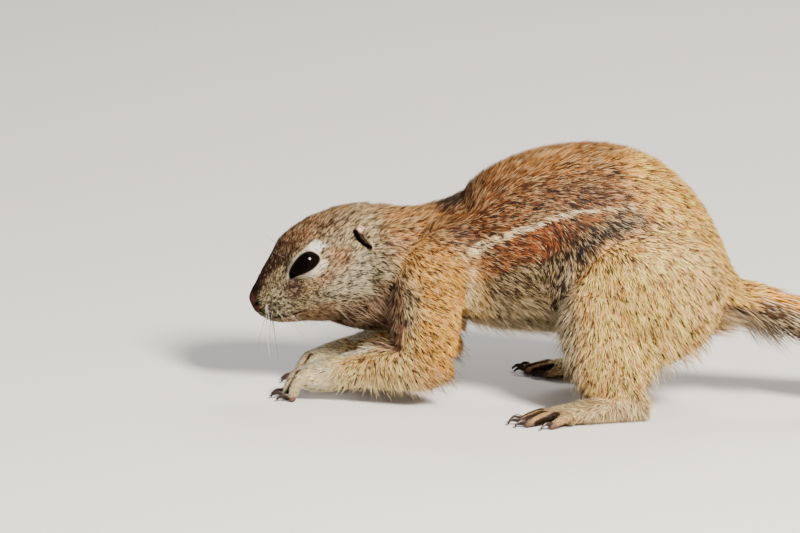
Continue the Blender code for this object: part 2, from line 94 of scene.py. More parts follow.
TRUNK_SECTIONS = [
    (-25, 77, -22, 34, 20),
    (-18, 82.4, -13, 31, 23.6),
    (-10, 91.2, -4, 28.8, 26.2),
    (0.5, 98, 4, 27.8, 28),
    (15, 103.7, 14, 27.4, 29.6),
    (32, 106.2, 30, 27.2, 30.6),
    (47, 105.2, 45, 27.8, 31),
    (60.6, 100.2, 58, 28.2, 30.6),
    (72.4, 90.8, 69, 28.8, 29),
    (80.6, 80.6, 77.5, 30.4, 26.4),
    (87.2, 68.4, 85, 33, 22.4),
    (92.2, 58.2, 91, 36.2, 17.4),
    (97.5, 51.8, 97, 37.6, 12),
    (104, 49.4, 103.6, 36.2, 9.4),
]
NECK_DEPTH, TRUNK_DEPTH = 1.5, 2.0
TAIL_STATIONS = [  # centre x, y, z, half width and half height of the brush
    (86, 0, 48, 8, 8),
    (98, 0.2, 44.6, 8.6, 7.6),
    (108, 0.6, 41.4, 10.2, 8.6),
    (122, 1.6, 36.2, 13.6, 10.4),
    (146, 3.6, 27, 17.6, 11.2),
    (172, 6.4, 18.6, 20, 11.4),
    (200, 9.4, 12.8, 20.8, 11.4),
    (228, 12, 10.6, 20.4, 11.2),
    (254, 13.8, 10.3, 18.4, 10.6),
    (280, 15, 9.6, 12.6, 8.2),
    (292, 15.5, 9, 6, 4.8),
    (297, 15.7, 8.8, 1.5, 1.3),
]
TAIL_CORE = (6.6, 6.4, 6.2, 5.2, 4.2, 3.7, 3.4, 3, 2.6, 2, 1.4, 0.8)  # radius at each
SHOULDER_CENTRE, SHOULDER_RADII = (-19, -14, 57), (19, 13.5, 20)
NECK_FILLER_CENTRE, NECK_FILLER_RADII = (-44, -10, 56), (12, 10.5, 16)
UPPER_ARM_STATIONS = [
    (-24, -13, 66, 7, 9),
    (-27, -17, 57, 9, 14),
    (-29.5, -20.5, 44, 8.8, 15.2),
    (-29.2, -23, 32, 8.2, 14.4),
    (-26.5, -24.5, 22, 7.6, 11),
]
FOREARM_STATIONS = [
    (-20.5, -24.5, 21.5, 6.6, 8),
    (-30, -24, 18.4, 7.8, 11.2),
    (-41, -22.3, 17.2, 7.4, 10.2),
    (-51, -20, 15.4, 6.4, 8.8),
    (-60, -17.6, 13, 6, 7.4),
    (-67, -16.2, 11, 6.4, 7),
    (-73, -15.2, 9.4, 6.8, 6),
    (-76.5, -14.8, 8.8, 6, 4.6),
]
HAUNCH_CENTRE, HAUNCH_RADII = (57.5, -22.5, 50), (33, 16.5, 29)
THIGH_STATIONS = [
    (76, -13, 62, 13, 18),
    (66, -18.5, 58, 14.5, 22),
    (54.5, -23, 53.5, 14.5, 22),
    (44, -26, 47.5, 12.5, 19),
    (38, -28.5, 40, 10, 14.5),
]
CALF_STATIONS = [
    (78, -16, 48, 11.5, 14),
    (68, -22, 41, 12, 15),
    (58, -26.5, 31.5, 10.5, 13),
    (51, -29, 21, 8, 9),
]
SHANK_STATIONS = [
    (38, -28.5, 50, 10, 13),
    (38.5, -30, 38, 9.8, 15),
    (42.5, -31, 27, 9.2, 15.6),
    (46, -31.5, 17, 8, 14),
    (49, -31.5, 8.5, 6.4, 9.6),
    (51.5, -31.5, 4, 5.2, 7),
]
ARM_DEPTH = (1.6, 1.6, 1.6, 1.6, 1.6)
FOREARM_DEPTH = (1.5, 1.5, 1.4, 1.2, 0.8, 0.5, 0.3, 0.3)
THIGH_DEPTH = (2, 2, 2, 2, 1.9)
SHANK_DEPTH = (1.8, 1.8, 1.7, 1.5, 0.9, 0.5)
RIGHT_FORE_SHIFT, RIGHT_HIND_SHIFT = 3.5, 2.5
FOREPAW_ORIGIN, FOREPAW_TURN = (-74, -15), math.radians(-4)
FOREPAW_DIGITS = [
    (-0.6, -4.5, -12, 7.4),
    (0.8, -1.5, -4, 8.8),
    (0.8, 1.5, 4, 8.6),
    (-0.4, 4.5, 13, 7.2),
]
FOREPAW_ARCH = [(0, 10.2), (0.42, 10.6), (0.80, 6.4), (1, 1.5)]
FOREPAW_RADII = (2.5, 2.45, 2.2, 1.7)
HINDFOOT_ORIGIN, HINDFOOT_TURN = (54.5, -31.5), math.radians(22)
SOLE_STATIONS = [
    (-5.5, 4.2, 4, 4.1),
    (0.5, 5.2, 5.3, 5.1),
    (10, 5, 5.5, 4.9),
    (22, 4.2, 6.3, 4.1),
    (31, 3.5, 6.9, 3.4),
    (35.5, 3.1, 6.6, 3),
]
HINDFOOT_DIGITS = [
    (25, -5.7, -15, 11),
    (31.5, -4.4, -7, 13.5),
    (33, -1.4, -2, 14.5),
    (32.5, 1.8, 4, 14),
    (27, 5.5, 14, 11.5),
]
HINDFOOT_ARCH = [(0, 3.4), (0.4, 4), (0.75, 2.7), (1, 1.5)]
HINDFOOT_RADII = (2, 1.95, 1.75, 1.45)

# --- the face, in the head's axes as seen from the side ---

EYE_OPENING = [  # the border of the dark lids, from the duct at the front, over the top
    (18.5, -1.4), (20, 0.5), (22, 1.9), (24.4, 3), (27, 3.8), (29.8, 3.9),
    (32, 2.6), (33.2, 0.2), (32.9, -1.4), (31.2, -2.6), (28.2, -3.2), (24.6, -2.9),
    (21.4, -2.1), (19.6, -1.9),
]
MOUTH_LINE = [(1.4, -6), (3.4, -9.6), (6.5, -12.2), (10.5, -14), (14.5, -15.2), (18, -16)]
EAR_SLIT = [(50.7, -0.2), (50.2, -2), (50.4, -4), (51.1, -6.2), (52.2, -8.2)]

# --- how the coat lies ---

# A stroke of the comb: place, the way the tips point, length of a tuft, and its lift in degrees.
# Places on the head are (along, up, out) and those on the body (x, out, z).
HEAD_COMB = [
    ((3, 3, 1), (1, 0.4, 0), 0.9, 12),
    ((12, 8, 3), (1, 0.5, 0), 1.4, 16),
    ((24, 14, 4), (1, 0.25, 0), 2.2, 20),
    ((38, 15.5, 5), (1, -0.05, 0), 3, 22),
    ((52, 12, 5), (1, -0.3, 0), 3.8, 22),
    ((5, -3, 5), (0.75, -0.2, 0.3), 1.3, 24),
    ((9, -8, 8), (0.8, -0.6, 0.2), 1.7, 26),
    ((7, -12, 6), (0.7, -0.8, 0), 1.5, 24),
    ((10, -17, 3), (1, -0.3, 0), 1.6, 22),
    ((16, 1, 10), (0.8, 0.5, 0), 1.5, 16),
    ((18, -8, 11), (1, -0.25, 0), 1.9, 18),
    ((27, -6, 14), (1, -0.1, 0), 1.8, 16),
    ((27, 8, 11), (1, 0.45, 0), 2, 16),
    ((37, 2, 16), (1, 0.15, 0), 2.4, 18),
    ((38, -9, 18), (1, -0.1, 0), 3, 22),
    ((48, -14, 18), (1, -0.35, 0), 3.8, 24),
    ((28, -19, 12), (1, -0.05, 0), 2.8, 22),
    ((48, -1, 16), (0.9, 0.3, 0.1), 2.4, 20),
    ((58, -3, 16), (1, -0.2, 0), 3.4, 22),
    ((40, -28, 4), (1, 0, 0), 3.2, 20),
    ((22, -22, 3), (1, -0.1, 0), 2.4, 20),
]
COMB = [
    ((-42, 4, 77), (1, 0, 0), 4.6, 22),
    ((-45, 15, 62), (1, 0, -0.4), 4.6, 22),
    ((-50, 13, 42), (1, 0, -0.6), 4.6, 22),
    ((-40, 8, 30), (1, 0, -0.2), 4.2, 22),
    ((-28, 6, 80), (1, 0, 0.15), 5.2, 24),
    ((-16, 6, 86), (1, 0, 0.6), 5.6, 27),
    ((-4, 12, 92), (1, 0, 0.35), 5.6, 25),
    ((15, 5, 103), (1, 0, 0.1), 5.6, 23),
    ((8, 22, 86), (1, 0, -0.15), 5.6, 21),
    ((40, 5, 106), (1, 0, -0.1), 6, 22),
    ((35, 26, 86), (1, 0, -0.35), 6, 21),
    ((62, 8, 98), (1, 0, -0.6), 6, 22),
    ((66, 24, 82), (0.8, 0, -0.7), 6, 21),
    ((80, 14, 76), (0.6, 0, -0.8), 6, 21),
    ((90, 5, 61), (0.85, 0, -0.6), 5.6, 20),
    ((4, 28, 64), (1, 0, -0.2), 5.6, 20),
    ((12, 26, 46), (1, 0, -0.3), 6, 20),
    ((16, 15, 32), (1, 0, -0.1), 5, 20),
    ((25, 0, 28), (1, 0, 0), 4.2, 18),
    ((-24, 6, 33), (1, 0, -0.1), 4.4, 20),
    ((-22, 24, 66), (1, 0, -0.4), 5.2, 21),
    ((-38, 20, 56), (0.8, 0, -0.7), 4.8, 22),
    ((-27, 30, 44), (1, 0, -0.45), 5, 21),
    ((-40, 27, 38), (0.5, 0, -0.9), 4.6, 24),
    ((-14, 28, 40), (0.6, 0, -0.8), 5.2, 22),
    ((-13, 26, 20), (0.7, 0, -0.75), 5.2, 26),
    ((-30, 31, 20), (0.75, 0, -0.65), 4.6, 22),
    ((-46, 26, 16), (0.35, 0, -0.9), 4, 24),
    ((-58, 22, 12), (-0.4, 0, -0.8), 2.8, 24),
    ((-46, 20, 26), (-0.75, 0, 0.25), 4, 28),
    ((-58, 17, 20), (-0.9, 0, 0.1), 2.2, 20),
    ((-70, 17, 14), (-1, 0, -0.2), 2, 22),
    ((-80, 15, 10), (-1, 0, -0.6), 1.6, 20),
    ((-40, 16, 10), (0.2, 0, -1), 3, 24),
    ((24, 31, 57), (-0.2, 0.3, -0.8), 4.6, 32),
    ((29, 33, 66), (0.25, 0.3, -0.6), 4.6, 32),
    ((38, 34, 72), (0.6, 0.3, -0.35), 4.6, 30),
    ((50, 34, 77), (0.8, 0.2, -0.2), 5, 26),
    ((31, 38, 55), (0, 0.1, -0.9), 5, 26),
    ((37, 39, 62), (0.25, 0.1, -0.8), 5, 24),
    ((46, 39, 66), (0.5, 0, -0.7), 5.2, 22),
    ((22, 32, 46), (-0.35, 0.2, -0.75), 5.2, 30),
    ((26, 36, 30), (-0.3, 0, -0.9), 5.6, 26),
    ((54, 40, 54), (0.35, 0, -0.9), 5.8, 18),
    ((52, 36, 76), (0.8, 0, -0.5), 5.6, 20),
    ((74, 30, 52), (0.55, 0, -0.8), 6, 20),
    ((68, 31, 34), (0.55, 0, -0.8), 6.4, 26),
    ((29, 38, 16), (-0.2, 0, -1), 4.8, 24),
    ((43, 40, 20), (0.05, 0, -1), 4.8, 20),
    ((58, 36, 16), (0.5, 0, -0.85), 5.4, 28),
    ((50, 36, 8), (0.1, 0, -1), 3.2, 24),
    ((40, 40, 9), (-0.6, 0.2, -0.7), 3.4, 22),
    ((30, 42, 9), (-0.9, 0.35, -0.3), 2.2, 18),
    ((15, 48, 6), (-0.9, 0.4, -0.1), 1.3, 10),
    ((48, 24, 24), (0.1, 0, -1), 4, 20),
    ((84, 10, 42), (0.8, 0, -0.5), 3.6, 18),
    ((92, 5, 38), (0.75, 0, -0.65), 5, 26),
    ((102, 2, 50), (1, 0, -0.35), 6, 18),
]

# --- helpers ---


def unit(rows):
    return rows / np.maximum(np.linalg.norm(rows, axis=-1, keepdims=True), 1e-9)


def ramp(value, low, high):
    """0 below low, 1 above high and smooth between."""
    share = np.clip((value - low) / (high - low), 0.0, 1.0)
    return share * share * (3 - 2 * share)


def fall(value, low, high):
    """1 below low, 0 above high and smooth between."""
    return 1 - ramp(value, low, high)


def bell(value, width, centre=0.0):
    """1 at the centre, smoothly down to nothing at some two widths from it."""
    return np.exp(-(((value - centre) / width) ** 2))


def waves(points, scale, seed, count=9):
    """Smooth noise about 0, from -1 to 1, with lumps of about the given size."""
    made = np.random.default_rng(seed)
    ways = unit(made.normal(size=(count, 3))) * (2 * math.pi / scale)
    ways *= made.uniform(0.6, 1.5, (count, 1))
    return np.sin(points @ ways.T + made.uniform(0, 6.28, count)).sum(1) / math.sqrt(count)


def mixed(below, above, share):
    """One thing and another laid over it, for numbers or for rows of them."""
    share = share if np.ndim(below) == 1 else share[:, None]
    return below * (1 - share) + above * share


def linear(colours):
    """sRGB numbers from 0 to 255 as linear light from 0 to 1."""
    values = np.clip(np.asarray(colours, float) / 255.0, 0, 1)
    return np.where(values <= 0.04045, values / 12.92, ((values + 0.055) / 1.055) ** 2.4)


def head_point(along, up, out=0.0):
    x = NOSE_TIP[0] + HEAD_COS * along - HEAD_SIN * up
    return (x, out, NOSE_TIP[2] + HEAD_SIN * along + HEAD_COS * up)


def head_way(along, up, out):
    """A direction in the head's axes as one in the part's."""
    return np.array([HEAD_COS * along - HEAD_SIN * up, out, HEAD_SIN * along + HEAD_COS * up])


def folded(points):
    """Places as x, the distance out from the midline, and z."""
    return points * [1, 0, 1] + np.abs(points) * [0, 1, 0]


def side_view(points):
    """x, the distance out from the midline, and the height as it is seen from a little above."""
    out = np.abs(points[:, 1])
    return points[:, 0], out, points[:, 2] - out * SEEN_SLOPE


def head_view(points):
    """Along the head and up it, as seen from the side and a little above."""
    x, _, z = side_view(points)
    x, z = x - NOSE_TIP[0], z - NOSE_TIP[2]
    return HEAD_COS * x + HEAD_SIN * z, HEAD_COS * z - HEAD_SIN * x


def line_distance(x, y, line):
    """Distance from points to a line through given points, and the share of it passed."""
    line = np.asarray(line, float)
    best, place = np.full(len(x), 1e9), np.zeros(len(x))
    for i, (start, end) in enumerate(zip(line, line[1:])):
        step = end - start
        share = ((x - start[0]) * step[0] + (y - start[1]) * step[1]) / (step @ step)
        share = np.clip(share, 0, 1)
        gap = np.hypot(x - start[0] - share * step[0], y - start[1] - share * step[1])
        place = np.where(gap < best, (i + share) / (len(line) - 1), place)
        best = np.minimum(gap, best)
    return best, place


def inside(x, y, border):
    """Whether points lie inside a closed border."""
    found = np.zeros(len(x), bool)
    for i, (x1, y1) in enumerate(border):
        x0, y0 = border[i - 1]
        crosses = (y0 > y) != (y1 > y)
        with np.errstate(divide="ignore", invalid="ignore"):
            found ^= crosses & (x < (x1 - x0) * (y - y0) / (y1 - y0) + x0)
    return found


def from_segment(points, start, end):
    """How far along a segment the nearest place to each point is, and the arm from there."""
    step = end - start
    share = np.clip((points - start) @ step / (step @ step), 0, 1)
    return share, points - start - share[:, None] * step


def distance(points, place):
    return np.linalg.norm(points - place, axis=1)


def interpolated(rows, steps):
    """Rows of numbers on a Catmull-Rom spline through the given ones."""
    rows = [Vector(row) for row in rows]
    rows = [2 * rows[0] - rows[1], *rows, 2 * rows[-1] - rows[-2]]
    found = []
    for i in range(1, len(rows) - 2):
        before, here, after, beyond = rows[i - 1 : i + 3]
        for step in range(steps):
            t = step / steps
            bend = 2 * before - 5 * here + 4 * after - beyond
            twist = 3 * here - before - 3 * after + beyond
            found.append((2 * here + (after - before) * t + bend * t**2 + twist * t**3) / 2)
    found.append(rows[-2])
    return found


def closed_curve(border, steps=6):
    count = len(border)
    around = [border[i % count] for i in range(-1, count + 2)]
    return np.array([list(p) for p in interpolated(around, steps)[steps : (count + 1) * steps]])


def put_in_row(points):
    """Places in the part's axes, in millimetres, as places in the frame, in metres."""
    return (np.asarray(points, float) + [ROW_SHIFT, 0.0, 0.0]) * MM


def eye_centre(side):
    return np.array(head_point(EYE_ALONG, EYE_UP, side * EYE_OUT))


EYE_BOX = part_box("eye_left")
ROW_SHIFT = (EYE_BOX[0].x + EYE_BOX[1].x) / 2 / MM - head_point(EYE_ALONG, EYE_UP)[0]
CAMERA_RISE = math.radians(12)  # how steeply the camera looks down
SEEN_SLOPE = math.tan(CAMERA_RISE)
OPENING = closed_curve(EYE_OPENING)


def opening_distance(points):
    """Distance out from the border of the dark lids, negative inside it."""
    along, up = head_view(points)
    border = np.vstack([OPENING, OPENING[:1]])
    gap, _ = line_distance(along, up, border)
    return np.where(inside(along, up, OPENING), -gap, gap)


# --- the skin ---


def add_tube(form, sections, egg=0.0, sides=32):
    """A closed tube through sections given as centre, aside and upward."""
    rings = []
    for centre, aside, upward in sections:
        ring = []
        for k in range(sides):
            angle = 2 * math.pi * k / sides
            across = math.cos(angle) * (1 - egg * math.sin(angle))
            ring.append(form.verts.new(centre + aside * across + upward * math.sin(angle)))
        rings.append(ring)
    for ring, following in zip(rings, rings[1:]):
        for k in range(sides):
            after = (k + 1) % sides
            form.faces.new((ring[k], ring[after], following[after], following[k]))
    form.faces.new(reversed(rings[0]))
    form.faces.new(rings[-1])


def add_profile(form, rows, egg):
    """A tube on the midline between a top and a bottom line, drawn in by the last number."""
    found = []
    for top_x, top_z, bottom_x, bottom_z, half_width, depth in interpolated(rows, 5):
        top, bottom = Vector((top_x, 0, top_z)), Vector((bottom_x, 0, bottom_z))
        upward = (top - bottom) / 2
        upward *= 1 - depth / upward.length
        found.append(((top + bottom) / 2, Vector((0, half_width - depth, 0)), upward))
    add_tube(form, found, egg)


def add_limb(form, stations, depths=None, sides=24, steps=5):
    """A tube whose sections stand square to its path, drawn in by a depth at each station."""
    depths = depths or [0.0] * len(stations)
    rows = interpolated([(*row, depth) for row, depth in zip(stations, depths)], steps)
    centres = [Vector(row[:3]) for row in rows]
    found = []
    for i, row in enumerate(rows):
        along = (centres[min(i + 1, len(rows) - 1)] - centres[max(i - 1, 0)]).normalized()
        aside = (Vector((0, 1, 0)) - along * along.y).normalized()
        wide, deep = max(row[3] - row[5], 0.4), max(row[4] - row[5], 0.4)
        found.append((centres[i], aside * wide, along.cross(aside) * deep))
    add_tube(form, found, sides=sides)


def add_ball(form, centre, radii, segments=32, rings=20):
    found = bmesh.ops.create_uvsphere(form, u_segments=segments, v_segments=rings, radius=1.0)
    for vertex in found["verts"]:
        vertex.co = Vector(centre) + Vector(a * b for a, b in zip(vertex.co, radii))


def on_side(stations, side, shift):
    """Stations of a left limb on the given side, the right one set back by the shift."""
    moved = shift if side > 0 else 0.0
    return [(row[0] + moved, -side * row[1], *row[2:]) for row in stations]


def foot_axes(origin, turn, side, shift):
    """A function from (forward, aside, up) in a left foot's axes to x, y, z on that side."""
    cos, sin = math.cos(turn), math.sin(turn)
    moved = shift if side > 0 else 0.0

    def place(forward, aside, up):
        x = origin[0] - cos * forward + sin * aside
        y = origin[1] - sin * forward - cos * aside
        return Vector((x + moved, -side * y, up))

    return place


def digit_path(place, digit, arch):
    forward, aside, turn, length = digit
    heading = math.radians(turn)
    found = []
    for share, up in arch:
        reach = share * length
        ahead = forward + reach * math.cos(heading)
        found.append(place(ahead, aside + reach * math.sin(heading), up))
    return found


def feet():
    """Each foot as its side, fore or hind, a function into its axes, and its digits' paths."""
    fore = ("fore", FOREPAW_ORIGIN, FOREPAW_TURN, RIGHT_FORE_SHIFT)
    hind = ("hind", HINDFOOT_ORIGIN, HINDFOOT_TURN, RIGHT_HIND_SHIFT)
    found = []
    for side in (-1, 1):
        for (kind, origin, turn, shift), digits, arch, radii in (
            (fore, FOREPAW_DIGITS, FOREPAW_ARCH, FOREPAW_RADII),
            (hind, HINDFOOT_DIGITS, HINDFOOT_ARCH, HINDFOOT_RADII),
        ):
            place = foot_axes(origin, turn, side, shift)
            paths = [digit_path(place, digit, arch) for digit in digits]
            found.append((side, kind, place, paths, radii))
    return found


def digits_of_feet():
    """The four points on each digit's path, foot by foot."""
    return [np.array([list(point) for point in path]) for foot in feet() for path in foot[3]]


def skin_form():
    """The lofts of the whole animal in one bmesh, each drawn in by its depth of coat."""
    form = bmesh.new()
    sections = []
    for top_along, top_up, bottom_along, bottom_up, half_width, depth in HEAD_SECTIONS:
        top, bottom = head_point(top_along, top_up), head_point(bottom_along, bottom_up)
        sections.append((top[0], top[2], bottom[0], bottom[2], half_width, depth))
    add_profile(form, sections, HEAD_EGG)
    add_profile(form, [(*row, NECK_DEPTH) for row in NECK_SECTIONS], TRUNK_EGG)
    add_profile(form, [(*row, TRUNK_DEPTH) for row in TRUNK_SECTIONS], TRUNK_EGG)
    core = [(*row[:3], radius, radius) for row, radius in zip(TAIL_STATIONS, TAIL_CORE)]
    add_limb(form, core)
    for side in (-1, 1):
        ridge = []
        for along, up, out, half_width, half_height in EAR_RIDGE:
            ridge.append((*head_point(along, up, side * out), half_width, half_height))
        add_limb(form, ridge)
        for stations, depths, shift in (
            (UPPER_ARM_STATIONS, ARM_DEPTH, RIGHT_FORE_SHIFT),
            (FOREARM_STATIONS, FOREARM_DEPTH, RIGHT_FORE_SHIFT),
            (THIGH_STATIONS, THIGH_DEPTH, RIGHT_HIND_SHIFT),
            (CALF_STATIONS, THIGH_DEPTH[:4], RIGHT_HIND_SHIFT),
            (SHANK_STATIONS, SHANK_DEPTH, RIGHT_HIND_SHIFT),
        ):
            add_limb(form, on_side(stations, side, shift), depths)
        shoulder = on_side([SHOULDER_CENTRE], side, RIGHT_FORE_SHIFT)[0]
        add_ball(form, shoulder, [r - TRUNK_DEPTH for r in SHOULDER_RADII])
        add_ball(form, *on_side([NECK_FILLER_CENTRE], side, 0.0), NECK_FILLER_RADII)
        haunch = on_side([HAUNCH_CENTRE], side, RIGHT_HIND_SHIFT)[0]
        add_ball(form, haunch, [r - TRUNK_DEPTH for r in HAUNCH_RADII])
    for side, kind, place, paths, radii in feet():
        for path in paths:
            add_limb(form, [(*p, r, r) for p, r in zip(path, radii)], sides=16)
            add_ball(form, path[-1], [radii[-1]] * 3, segments=16, rings=10)
        if kind == "hind":
            sole = [(*place(u, 0.0, up), wide, high) for u, up, wide, high in SOLE_STATIONS]
            add_limb(form, sole)
    bmesh.ops.recalc_face_normals(form, faces=form.faces)
    return form


def added(name, data):
    obj = bpy.data.objects.new(name, data)
    bpy.context.scene.collection.objects.link(obj)
    return obj


def object_from(form, name):
    mesh = bpy.data.meshes.new(name)
    form.to_mesh(mesh)
    form.free()
    return added(name, mesh)


def modify(obj, kind, **settings):
    made = obj.modifiers.new(kind.lower(), kind)
    for name, value in settings.items():
        setattr(made, name, value)


def apply_modifiers(obj):
    graph = bpy.context.evaluated_depsgraph_get()
    result = bpy.data.meshes.new_from_object(obj.evaluated_get(graph))
    obj.modifiers.clear()
    obj.data = result


def vectors(items, key):
    found = np.empty(len(items) * 3, np.float32)
    items.foreach_get(key, found)
    return found.reshape(-1, 3).astype(float)


def coordinates(mesh):
    return vectors(mesh.vertices, "co")


def move_vertices(mesh, points):
    mesh.vertices.foreach_set("co", points.astype(np.float32).ravel())


def normals_of(mesh):
    return vectors(mesh.vertex_normals, "vector")


def colour_vertices(mesh, colours):
    """Keeps a colour in linear light at each vertex, for the finishes to read."""
    rgba = np.ones((len(colours), 4), np.float32)
    rgba[:, :3] = colours
    layer = mesh.color_attributes.new("coat", "FLOAT_COLOR", "POINT")
    layer.data.foreach_set("color", rgba.ravel())


def refined(mesh, wanted):
    """Splits the faces whose corners are all wanted in four."""
    form = bmesh.new()
    form.from_mesh(mesh)
    form.verts.ensure_lookup_table()
    edges = [e for e in form.edges if wanted[e.verts[0].index] and wanted[e.verts[1].index]]
    bmesh.ops.subdivide_edges(form, edges=edges, cuts=1, use_grid_fill=True, smooth=0.0)
    form.to_mesh(mesh)
    form.free()


LID_ROUNDING = 1.6  # how wide the skin bends where it meets the ball
SKIN_VOXEL, SKIN_KEPT = 0.55, 0.55  # size of the skin's cells, and the share of faces kept
CREASES = [((-39, 18, 57), (9, 9, 16)), ((-10, 24, 44), (7, 9, 16))]  # centres and radii
FACE_END, HEAD_END = -45, -40  # the face and the head lie at a smaller x than these
EYE_SIDE, EAR_SIDE = 5, 7  # the eye's and the ear's marks lie further out than these
LID_REACH = 16  # the lids are no further than this from the eye's centre
NOSTRIL, EAR_NUB = (1.7, -2.9), (52.8, -0.1)


def nostril_distance(along, up):
    """Distance from the nostril's middle, 1 at its edge."""
    return np.hypot((along - NOSTRIL[0]) / 1.1, (up - NOSTRIL[1]) / 0.7)


def nub_distance(along, up):
    return np.hypot(along - EAR_NUB[0], up - EAR_NUB[1])


def soft_max(a, b, width):
    """The greater of two, with the corner between them rounded."""
    share = np.clip(0.5 + (a - b) / (2 * width), 0, 1)
    return b * (1 - share) + a * share + width * share * (1 - share)


def round_eye(points, side):
    """From an eye's centre to each place: the way, the distance, and whether it is near."""
    arm = points - eye_centre(side)
    reach = distance(points, eye_centre(side))
    return unit(arm), reach, (reach < LID_REACH) & (points[:, 1] * side > EYE_SIDE)


def lid_gap(points):
    """opening_distance, with each place near an eye first moved out onto the eyeball."""
    found = opening_distance(points)
    for side in (-1, 1):
        way, reach, near = round_eye(points, side)
        over = soft_max(reach, EYE_RADIUS + 0.4, LID_ROUNDING)
        moved = eye_centre(side) + way * over[:, None]
        found[near] = opening_distance(moved[near])
    return found


def shape_lids(points):
    """Draws the skin behind the eyeball inside the opening, and over it as lids outside."""
    gap = lid_gap(points)
    along, _ = head_view(points)
    for side in (-1, 1):
        way, reach, near = round_eye(points, side)
        # A rim along the opening with a fold behind it, and plain skin further out.
        lids = EYE_RADIUS + 0.30 + 0.35 * bell(gap, 0.55)
        lids -= 0.18 * bell(gap, 0.6, 1.7)
        over = soft_max(reach, np.where(gap > 5.5, EYE_RADIUS + 0.2, lids), LID_ROUNDING)
        behind = np.minimum(over, EYE_RADIUS - 0.9)
        wanted = mixed(behind, over, ramp(gap, -0.55, -0.25))
        # In front of the ball the opening runs on as a groove, the tear duct.
        duct = ramp(-gap, 0.0, 0.7) * ramp(21.2 - along, 0.0, 1.0)
        facing = ramp(way[:, 1] * side, -0.6, -0.3)
        wanted = mixed(reach, wanted, facing)
        wanted = mixed(wanted, np.minimum(wanted, reach - 0.9), duct * facing)
        points[near] = (eye_centre(side) + way * wanted[:, None])[near]


def shape_face(points, normals):
    """Presses in the mouth, nostrils and ear slits, and raises pads, brow and nose."""
    along, up = head_view(points)
    out = np.abs(points[:, 1])
    on_head = (points[:, 0] < HEAD_END) & (along > -3) & (along < 62)
    push = np.zeros(len(points))
    gap, place = line_distance(along, up, MOUTH_LINE)
    low_face = ramp(out, 0.2, 1.2) * (along < 20)
    push -= 0.95 * bell(gap, 0.42) * low_face * ramp(1.0 - place, 0.0, 0.25)
    above = bell(gap, 1.0, 1.4) * (up > -15.5)
    push += 0.25 * above * low_face * ramp(1.0 - place, 0.0, 0.3)
    # nostril: a comma that opens to the side and the front
    gap = nostril_distance(along, up)
    push -= 0.9 * np.exp(-(gap**2) * 1.2) * ramp(out, 1.0, 1.9) * (along < 5)
    # the split of the upper lip, on the midline under the nose
    push -= 0.6 * (bell(out, 0.35) * ramp(-up, 3.0, 4.0) * ramp(8.5 + up, 0, 1.5) * (along < 3))
    # whisker pad and brow
    pad = np.exp(-(((along - 8.0) / 4.0) ** 2) - (((up + 7.5) / 3.8) ** 2))
    push += 0.55 * pad * ramp(out, 2, 5)
    brow = np.exp(-(((along - 26.0) / 6.0) ** 2) - (((up - 8.5) / 1.8) ** 2))
    push += 0.35 * brow * ramp(out, 6, 9)
    # ear: the slit, and the bare nub at its upper end
    gap, place = line_distance(along, up, EAR_SLIT)
    taper = np.interp(place, [0, 0.2, 0.6, 1], [1.0, 1.3, 1.0, 0.55])
    at_ear = ramp(out, 8.0, 10.0)
    push -= 2.8 * bell(gap, 1.15 * taper) * at_ear
    push += 1.7 * bell(nub_distance(along, up), 1.25) * at_ear
    push[~on_head] = 0.0
    points += normals * push[:, None]


def make_skin():
    obj = object_from(skin_form(), "skin")
    modify(obj, "REMESH", mode="VOXEL", voxel_size=SKIN_VOXEL)
    modify(obj, "SMOOTH", factor=0.5, iterations=9)
    apply_modifiers(obj)
    # The creases behind the neck and in front of the shoulder are softened.
    points = folded(coordinates(obj.data))
    gap = np.full(len(points), np.inf)
    for centre, radii in CREASES:
        gap = np.minimum(gap, np.linalg.norm((points - centre) / radii, axis=1))
    crease = obj.vertex_groups.new(name="crease")
    crease.add(np.nonzero(gap < 1)[0].tolist(), 1.0, "REPLACE")
    modify(obj, "SMOOTH", vertex_group="crease", factor=0.5, iterations=60)
    apply_modifiers(obj)
    mesh = obj.data
    # Finer faces where the lids, the nose, the mouth and the ear are.
    points = coordinates(mesh)
    along, up = head_view(points)
    slit, _ = line_distance(along, up, EAR_SLIT)
    at_ear = (slit < 3.5) & (np.abs(points[:, 1]) > EAR_SIDE)
    detailed = ((along < 19) & (up > -19)) | (lid_gap(points) < 4.0) | at_ear
    refined(mesh, (points[:, 0] < FACE_END) & detailed)
    points = coordinates(mesh)
    refined(mesh, (points[:, 0] < FACE_END) & (np.abs(lid_gap(points) + 0.3) < 1.3))
    points = coordinates(mesh)
    shape_face(points, normals_of(mesh))
    shape_lids(points)
    move_vertices(mesh, points)
    mesh.update()
    # Fewer faces where the form is broad: behind the head and above the feet.
    fine = ramp(-points[:, 0], 44, 50)
    fine += ramp(11 - points[:, 2], 0, 2) * ramp(75 - points[:, 0], 0, 5)
    levels = np.clip((1 - fine) * 4, 0, 4).round()
    group = obj.vertex_groups.new(name="broad")
    for level in range(5):
        chosen = np.nonzero(levels == level)[0]
        if len(chosen):
            group.add(chosen.tolist(), level / 4, "REPLACE")
    modify(obj, "DECIMATE", ratio=SKIN_KEPT, vertex_group="broad", vertex_group_factor=30.0)
    apply_modifiers(obj)
    return obj


# --- the colours of coat and skin ---

